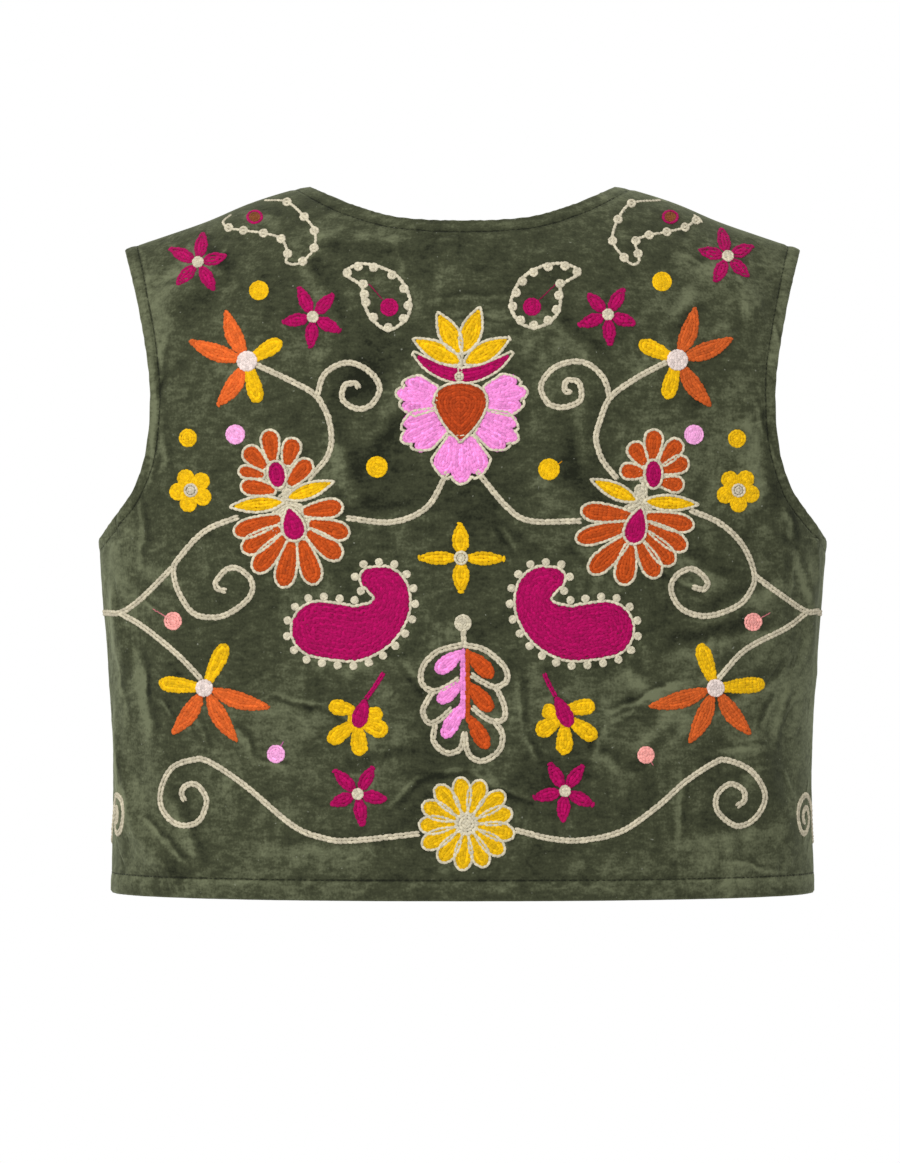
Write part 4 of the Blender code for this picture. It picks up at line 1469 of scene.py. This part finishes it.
# Sharp creases painted into the velvet's colour: both ends as x and z, half width, strength. Each is a
# painted highlight along the line with a painted shadow on one side.
paintedCreaseLines = (
    (-190, -354, -160, -387, 1.9, 1.0), (-190, -268, -186, -290, 1.6, 0.9),
    (-178, -286, -171, -300, 1.5, 0.7), (-158, -294, -147, -317, 1.9, 0.6),
    (-136, -297, -124, -320, 2.2, 0.9), (-124, -320, -100, -328, 2.0, 0.6),
    (-115, -287, -78, -290, 1.7, -0.9), (-205, -262, -199, -300, 1.6, 0.8),
    (-208, -312, -203, -352, 1.8, 0.8), (-196, -224, -180, -238, 1.8, 0.7),
    (-190, -168, -192, -214, 2.0, 0.8), (-182, -120, -184, -160, 1.8, 0.9),
    (-176, -70, -180, -112, 2.0, 0.6), (-150, -22, -186, -44, 1.7, 0.7), (-140, -18, -152, -34, 1.6, 0.6),
    (-42, -350, -18, -330, 1.9, -0.9), (-20, -331, 4, -330, 1.9, -1.1), (0, -329, 42, -350, 1.9, -0.9),
    (-38, -264, -20, -290, 2.0, -0.7), (-96, -286, -60, -300, 1.8, -0.6), (60, -196, 84, -214, 1.8, -0.5),
    (81, -294, 131, -275, 2.0, 1.0), (74, -322, 86, -298, 2.1, 0.8), (86, -298, 101, -291, 1.8, 0.7),
    (31, -268, 34, -304, 2.1, 0.8), (34, -304, 44, -324, 2.0, 0.8), (176, -306, 184, -280, 1.7, 0.9),
    (145, -316, 186, -315, 2.0, 0.7), (16, -186, 32, -202, 1.7, -0.8), (106, -211, 143, -226, 1.9, -0.7),
    (129, -322, 123, -372, 2.3, 0.6), (188, -170, 196, -196, 2.0, 1.0), (196, -196, 206, -230, 2.0, 0.9),
    (-26, -52, 32, -53, 1.9, 0.6), (-16, -62, 34, -68, 1.7, -0.5), (120, -20, 168, -40, 1.8, 0.6),
    (182, -60, 190, -100, 1.8, 0.7), (168, -108, 186, -152, 1.8, 0.6), (150, -380, 196, -392, 1.6, 0.7),
    (-164, -15, -142, -40, 4.5, 1.0), (-131, 3, -106, -7, 4.0, 0.8), (-98, -24, -70, -76, 5.0, 0.7),
    (37, -57, 80, -94, 5.0, 0.8), (-77, -184, -28, -176, 4.5, 0.6), (115, -200, 160, -222, 5.0, 0.7),
    (130, -246, 200, -216, 4.5, 0.9), (112, -262, 195, -244, 4.5, 0.9), (140, -300, 200, -268, 4.0, 0.8),
    (90, -266, 118, -292, 4.0, 0.8), (-104, -262, -24, -268, 5.0, 0.7), (-195, -249, -185, -315, 3.2, 1.0),
    (-176, -339, -154, -388, 4.0, 0.9), (-134, -372, -42, -378, 5.5, 0.6),
    (-24, -314, -78, -328, 4.5, -0.7), (114, -371, 194, -364, 5.5, 0.6), (68, -316, 104, -334, 4.5, 0.8),
    (170, -117, 176, -178, 5.0, 0.8), (140, -44, 114, -70, 5.0, 0.9), (-186, -75, -176, -160, 3.2, 0.8),
    (-84, -118, -62, -176, 5.0, 0.7), (-160, -222, -196, -206, 4.0, 0.8), (56, -104, 66, -160, 5.0, -0.6),
)


def makePaintedCrease():
    # one painted crease, round zero: a painted highlight along the line and a painted shadow beside it
    inputs = {"Vector": None, "Start": None, "Along": None, "Across": None, "Strength": 1.0}
    group, given, end = newGroup("paintedCrease", inputs, ("Light",))

    def bell(distance):
        return calculate(group, "POWER", math.exp(-1), calculate(group, "MULTIPLY", distance, distance))

    away = calculate(group, "SUBTRACT", given["Vector"], given["Start"], kind="VectorMath")
    along = calculate(group, "DOT_PRODUCT", away, given["Along"], kind="VectorMath", result="Value")
    across = calculate(group, "DOT_PRODUCT", away, given["Across"], kind="VectorMath", result="Value")
    fromMiddle = calculate(group, "ABSOLUTE", calculate(group, "SUBTRACT", along, 0.5))
    fade = mapRange(group, fromMiddle, 0.55, 0.2, 0.0, 1.0, smooth=True)
    dark = bell(calculate(group, "SUBTRACT", across, velvetLook["shadowBeside"]))
    both = calculate(group, "MULTIPLY_ADD", dark, -velvetLook["shadowShare"], bell(across))
    faded = calculate(group, "MULTIPLY", both, fade)
    setInputs(group, end, {"Light": calculate(group, "MULTIPLY", faded, given["Strength"])})
    return group


def addPaintedCreases(tree, place):
    # all the painted creases together, on wandering coordinates so that none is straight
    wander = {"Vector": place, "Scale": velvetLook["creaseSize"], "Detail": 3}
    wander = addNode(tree, "TexNoise", wander).outputs["Color"]
    wander = calculate(tree, "SUBTRACT", wander, (0.5, 0.5, 0.5), kind="VectorMath")
    reach = (velvetLook["creaseWander"], 0, velvetLook["creaseWander"])
    wander = calculate(tree, "MULTIPLY", wander, reach, kind="VectorMath")
    flat = calculate(tree, "MULTIPLY", place, (1, 0, 1), kind="VectorMath")
    moved = calculate(tree, "ADD", flat, wander, kind="VectorMath")
    paintedCrease = makePaintedCrease()
    total = 0.0
    for x1, z1, x2, z2, half, strength in paintedCreaseLines:
        run = np.array([x2 - x1, 0, z2 - z1]) * mm
        length = np.linalg.norm(run)
        inputs = {
            "Vector": moved, "Start": (x1 * mm, 0, z1 * mm), "Along": run / length**2,
            "Across": np.array([-run[2], 0, run[0]]) / length / (half * mm), "Strength": strength,
        }
        light = addNode(tree, "Group", inputs, node_tree=paintedCrease).outputs[0]
        total = calculate(tree, "ADD", total, light)
    return total


def makeStitchLine():
    # the thin valley that the topstitching pulls into the nap, uneven along its length; it is a bump, and it
    # is also painted darker as shade in the groove
    group, given, end = newGroup("stitch valley", {"Half": 0.8}, ("Valley",))
    away = calculate(group, "ABSOLUTE", readAttribute(group, "line"))
    valley = mapRange(group, away, 0.0, given["Half"], 1.0, 0.0, smooth=True)
    breaks = noise(group, objectPlace(group), velvetLook["stitchBreaks"], 1)
    broken = mapRange(group, breaks, 0.38, 0.6, 0.25, 1.0)
    setInputs(group, end, {"Valley": calculate(group, "MULTIPLY", valley, broken)})
    return group


def velvetToneAndPaintedLight(tree, place, crushed, grain, valley):
    # all that makes the velvet lighter or darker, added to the nap, which carries painted light too: random
    # clouds, blotches, streaks, grain and specks, with painted highlights and shadows of the creases, painted
    # highlights on the wrinkle ridges and painted shade in the stitch grooves
    grainShare = velvetLook["grainShare"]
    speckShare = velvetLook["speckShare"]
    shares = (  # value, its share, what is added
        (addPaintedCreases(tree, place), velvetLook["creaseLight"], 0.0),
        (valley, -velvetLook["stitchLineShade"], 0.0),
        (crushed["Clouds"], velvetLook["cloudShare"], 0.0),
        (crushed["Blotches"], velvetLook["mottleShare"], 0.0),
        (crushed["Streaks"], velvetLook["streakShare"], 0.0),
        (crushed["Wrinkles"], velvetLook["wrinkleHighlightShare"], 0.0),
        (grain["Grain"], grainShare, -0.5 * grainShare),
        (grain["Specks"], speckShare, -0.5 * speckShare),
    )
    total = readAttribute(tree, "napAndPaintedLight")
    for value, share, offset in shares:
        total = calculate(tree, "ADD", total, calculate(tree, "MULTIPLY_ADD", value, share, offset))
    return total


def makeVelvet():
    material, tree, shader = newMaterial("olive velvet")
    place = objectPlace(tree)
    crushed = addNode(tree, "Group", {"Vector": place}, node_tree=makeCrushedNap()).outputs
    inputs = {"Vector": place, "Fine": velvetLook["grain"], "Stretch": velvetLook["grainStretch"]}
    grain = addNode(tree, "Group", inputs, node_tree=clothGrain).outputs
    inputs = {"Half": velvetLook["stitchHalf"]}
    valley = addNode(tree, "Group", inputs, node_tree=makeStitchLine()).outputs["Valley"]
    ramp = addNode(tree, "ValToRGB", {"Fac": velvetToneAndPaintedLight(tree, place, crushed, grain, valley)})
    ramp.color_ramp.elements[0].color = velvetLook["darkest"]
    ramp.color_ramp.elements[1].color = velvetLook["light"]
    ramp.color_ramp.elements.new(0.5).color = velvetLook["mid"]
    # a painted sheen: the velvet is made lighter right at the finished edges, where the cloth rolls under
    edgeSheen = mapRange(tree, readAttribute(tree, "edge"), 0.0, velvetLook["edgeSheenReach"], 0.35, 0.0)
    withEdgeSheen = mixColours(tree, edgeSheen, ramp.outputs["Color"], velvetLook["light"])
    bits = mapRange(tree, noise(tree, place, velvetLook["lintSize"], 1), 0.76, 0.82, 0.0, 0.5)
    soft = bump(tree, crushed["Wrinkles"], 0.5, 0.002)
    pile = bump(tree, grain["Specks"], 0.6, 0.0003, Normal=soft)
    pulled = bump(tree, valley, 0.7, 0.0006, invert=True, Normal=pile)
    setInputs(tree, shader, {
        "Base Color": mixColours(tree, bits, withEdgeSheen, velvetLook["lint"]), "Normal": pulled,
        "Roughness": velvetLook["roughness"], "Specular IOR Level": velvetLook["specular"],
        "Sheen Weight": velvetLook["sheen"], "Sheen Roughness": velvetLook["sheenRoughness"],
        "Sheen Tint": velvetLook["sheenTint"],
    })
    return material


backingLook = {
    "dark": (0.05, 0.052, 0.034, 1), "light": (0.095, 0.098, 0.066, 1), "threads": 260.0, "cloud": 30,
    "roughness": 0.9, "specular": 0.2, "sheen": 0.15,
}


def makeBacking():
    # the wrong side of the velvet: a plain close weave
    material, tree, shader = newMaterial("woven wrong side")
    place = objectPlace(tree)
    inputs = {"Vector": place, "Scale": backingLook["threads"], "Distortion": 0.4}
    weave = [addNode(tree, "TexWave", inputs, wave_type="BANDS", bands_direction=way) for way in ("X", "Z")]
    crossed = calculate(tree, "MULTIPLY", weave[0].outputs["Fac"], weave[1].outputs["Fac"])
    mixed = calculate(tree, "MULTIPLY_ADD", crossed, 0.4, noise(tree, place, backingLook["cloud"], 5))
    ramp = addNode(tree, "ValToRGB", {"Fac": mixed})
    ramp.color_ramp.elements[0].position = 0.3
    ramp.color_ramp.elements[0].color = backingLook["dark"]
    ramp.color_ramp.elements[1].position = 0.9
    ramp.color_ramp.elements[1].color = backingLook["light"]
    setInputs(tree, shader, {
        "Base Color": ramp.outputs["Color"], "Normal": bump(tree, crossed, 0.5, 0.0002),
        "Roughness": backingLook["roughness"], "Specular IOR Level": backingLook["specular"],
        "Sheen Weight": backingLook["sheen"],
    })
    return material


threads = {  # base colour of each thread
    "cream": (0.66, 0.60, 0.445), "magenta": (0.42, 0.001, 0.10), "orange": (0.64, 0.10, 0.012),
    "yellow": (0.87, 0.51, 0.003), "pink": (0.95, 0.30, 0.72), "coral": (0.95, 0.40, 0.36),
    "green": (0.014, 0.016, 0.009),
}
threadLook = {
    "turns": 8.5, "fuzz": 700, "roughness": 0.68, "specular": 0.1, "sheen": 0.02, "sheenRoughness": 0.5,
}


def makeThread(name, colour):
    material, tree, shader = newMaterial(name + " thread")
    twist = addNode(tree, "Group", {"Turns": threadLook["turns"]}, node_tree=threadTwist).outputs[0]
    # painted shade: the grooves of the thread's twist are made darker as well as bumped; the fuzz noise is
    # the thread's own uneven tone
    paintedShade = mapRange(tree, twist, 0.0, 1.0, 0.84, 1.06)
    uneven = mapRange(tree, noise(tree, objectPlace(tree), threadLook["fuzz"], 2), 0.3, 0.7, 0.88, 1.1)
    both = calculate(tree, "MULTIPLY", paintedShade, uneven)
    tinted = calculate(tree, "MULTIPLY", readAttribute(tree, "tint", "Color"), colour, kind="VectorMath")
    shaded = addNode(tree, "VectorMath", {0: tinted, "Scale": both}, operation="SCALE").outputs[0]
    setInputs(tree, shader, {
        "Base Color": shaded, "Normal": bump(tree, twist, 0.6, 0.00025),
        "Roughness": threadLook["roughness"], "Specular IOR Level": threadLook["specular"],
        "Sheen Weight": threadLook["sheen"], "Sheen Roughness": threadLook["sheenRoughness"],
    })
    return material


velvet = makeVelvet()
backing = makeBacking()
threadMaterials = {name: makeThread(name, colour) for name, colour in threads.items()}

# Cloth: the turned strip inside the finished edges is velvet, the rest of the inside is the wrong side
turnedStrip = 11.0
clothPieces = (  # piece, node, flat size in metres
    (back, "back", (0.53, 0.44)), (frontLeft, "front_left", (0.27, 0.44)),
    (frontRight, "front_right", (0.27, 0.44)),
)
for piece, node, flat in clothPieces:
    mesh = piece.data
    mesh.materials.clear()
    mesh.materials.append(velvet)
    mesh.materials.append(backing)
    away = np.zeros(len(mesh.vertices))
    mesh.attributes["edge"].data.foreach_get("value", away)
    for face in mesh.polygons:
        if face.material_index == 1 and away[face.vertices[0]] < turnedStrip:
            face.material_index = 0
    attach(piece, "root")
    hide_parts(node)

stitchPieces = 0
for (node, thread), rows in work.items():
    sewing = "topstitching" if thread == "green" else "embroidery"
    piece = joinLinks(f"{node}_{thread}_{sewing}", rows)
    piece.data.materials.append(threadMaterials[thread])
    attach(piece, "root")
    stitchPieces += 1
    print(piece.name, len(piece.data.polygons), "faces")
print("stitched:", stitchPieces, "pieces")


# Studio
studio = {
    "floorHeight": -1.3, "floorRadius": 5.0, "floorGrey": 0.82, "background": 1.0, "world": 0.78,
    "keyPower": 78.0, "keySize": 1.8, "keyPlace": (-1.5, -3.0, 1.7), "target": (0, 0, -0.19),
    "sensor": 36, "lens": 180.6, "farthest": 50,
}


def makeFloor():
    deselectAll()
    bpy.ops.mesh.primitive_circle_add(
        vertices=96, radius=studio["floorRadius"], fill_type="NGON", location=(0, 0, studio["floorHeight"])
    )
    floor = bpy.context.object
    floor.name = "floor"
    material, tree, shader = newMaterial("pale floor")
    grey = studio["floorGrey"]
    setInputs(tree, shader, {"Base Color": (grey, grey, grey, 1), "Roughness": 0.8})
    floor.data.materials.append(material)


def makeWorld():
    world = bpy.data.worlds.new("studio")
    world.use_nodes = True
    tree = world.node_tree
    direct = addNode(tree, "LightPath").outputs["Is Camera Ray"]
    strength = mapRange(tree, direct, 0.0, 1.0, studio["world"], studio["background"])
    setInputs(tree, tree.nodes["Background"], {"Color": (1, 1, 1, 1), "Strength": strength})
    bpy.context.scene.world = world


def makeLight(name, place, power, size):
    deselectAll()
    bpy.ops.object.light_add(type="AREA", location=place)
    light = bpy.context.object
    light.name = name
    light.data.energy = power
    light.data.size = size
    aim = Vector(studio["target"]) - Vector(place)
    light.rotation_euler = aim.to_track_quat("-Z", "Y").to_euler()


def makeCamera():
    deselectAll()
    place = (stitch["eyeX"] * mm, -stitch["eye"] * mm, stitch["eyeHeight"] * mm)
    bpy.ops.object.camera_add(location=place, rotation=(math.pi / 2, 0, 0))
    camera = bpy.context.object
    camera.data.sensor_width = studio["sensor"]
    camera.data.lens = studio["lens"]
    camera.data.clip_end = studio["farthest"]
    bpy.context.scene.camera = camera


makeFloor()
makeWorld()
makeLight("key", studio["keyPlace"], studio["keyPower"], studio["keySize"])
makeCamera()
bpy.context.scene.view_settings.view_transform = "Standard"
print("studio ready")
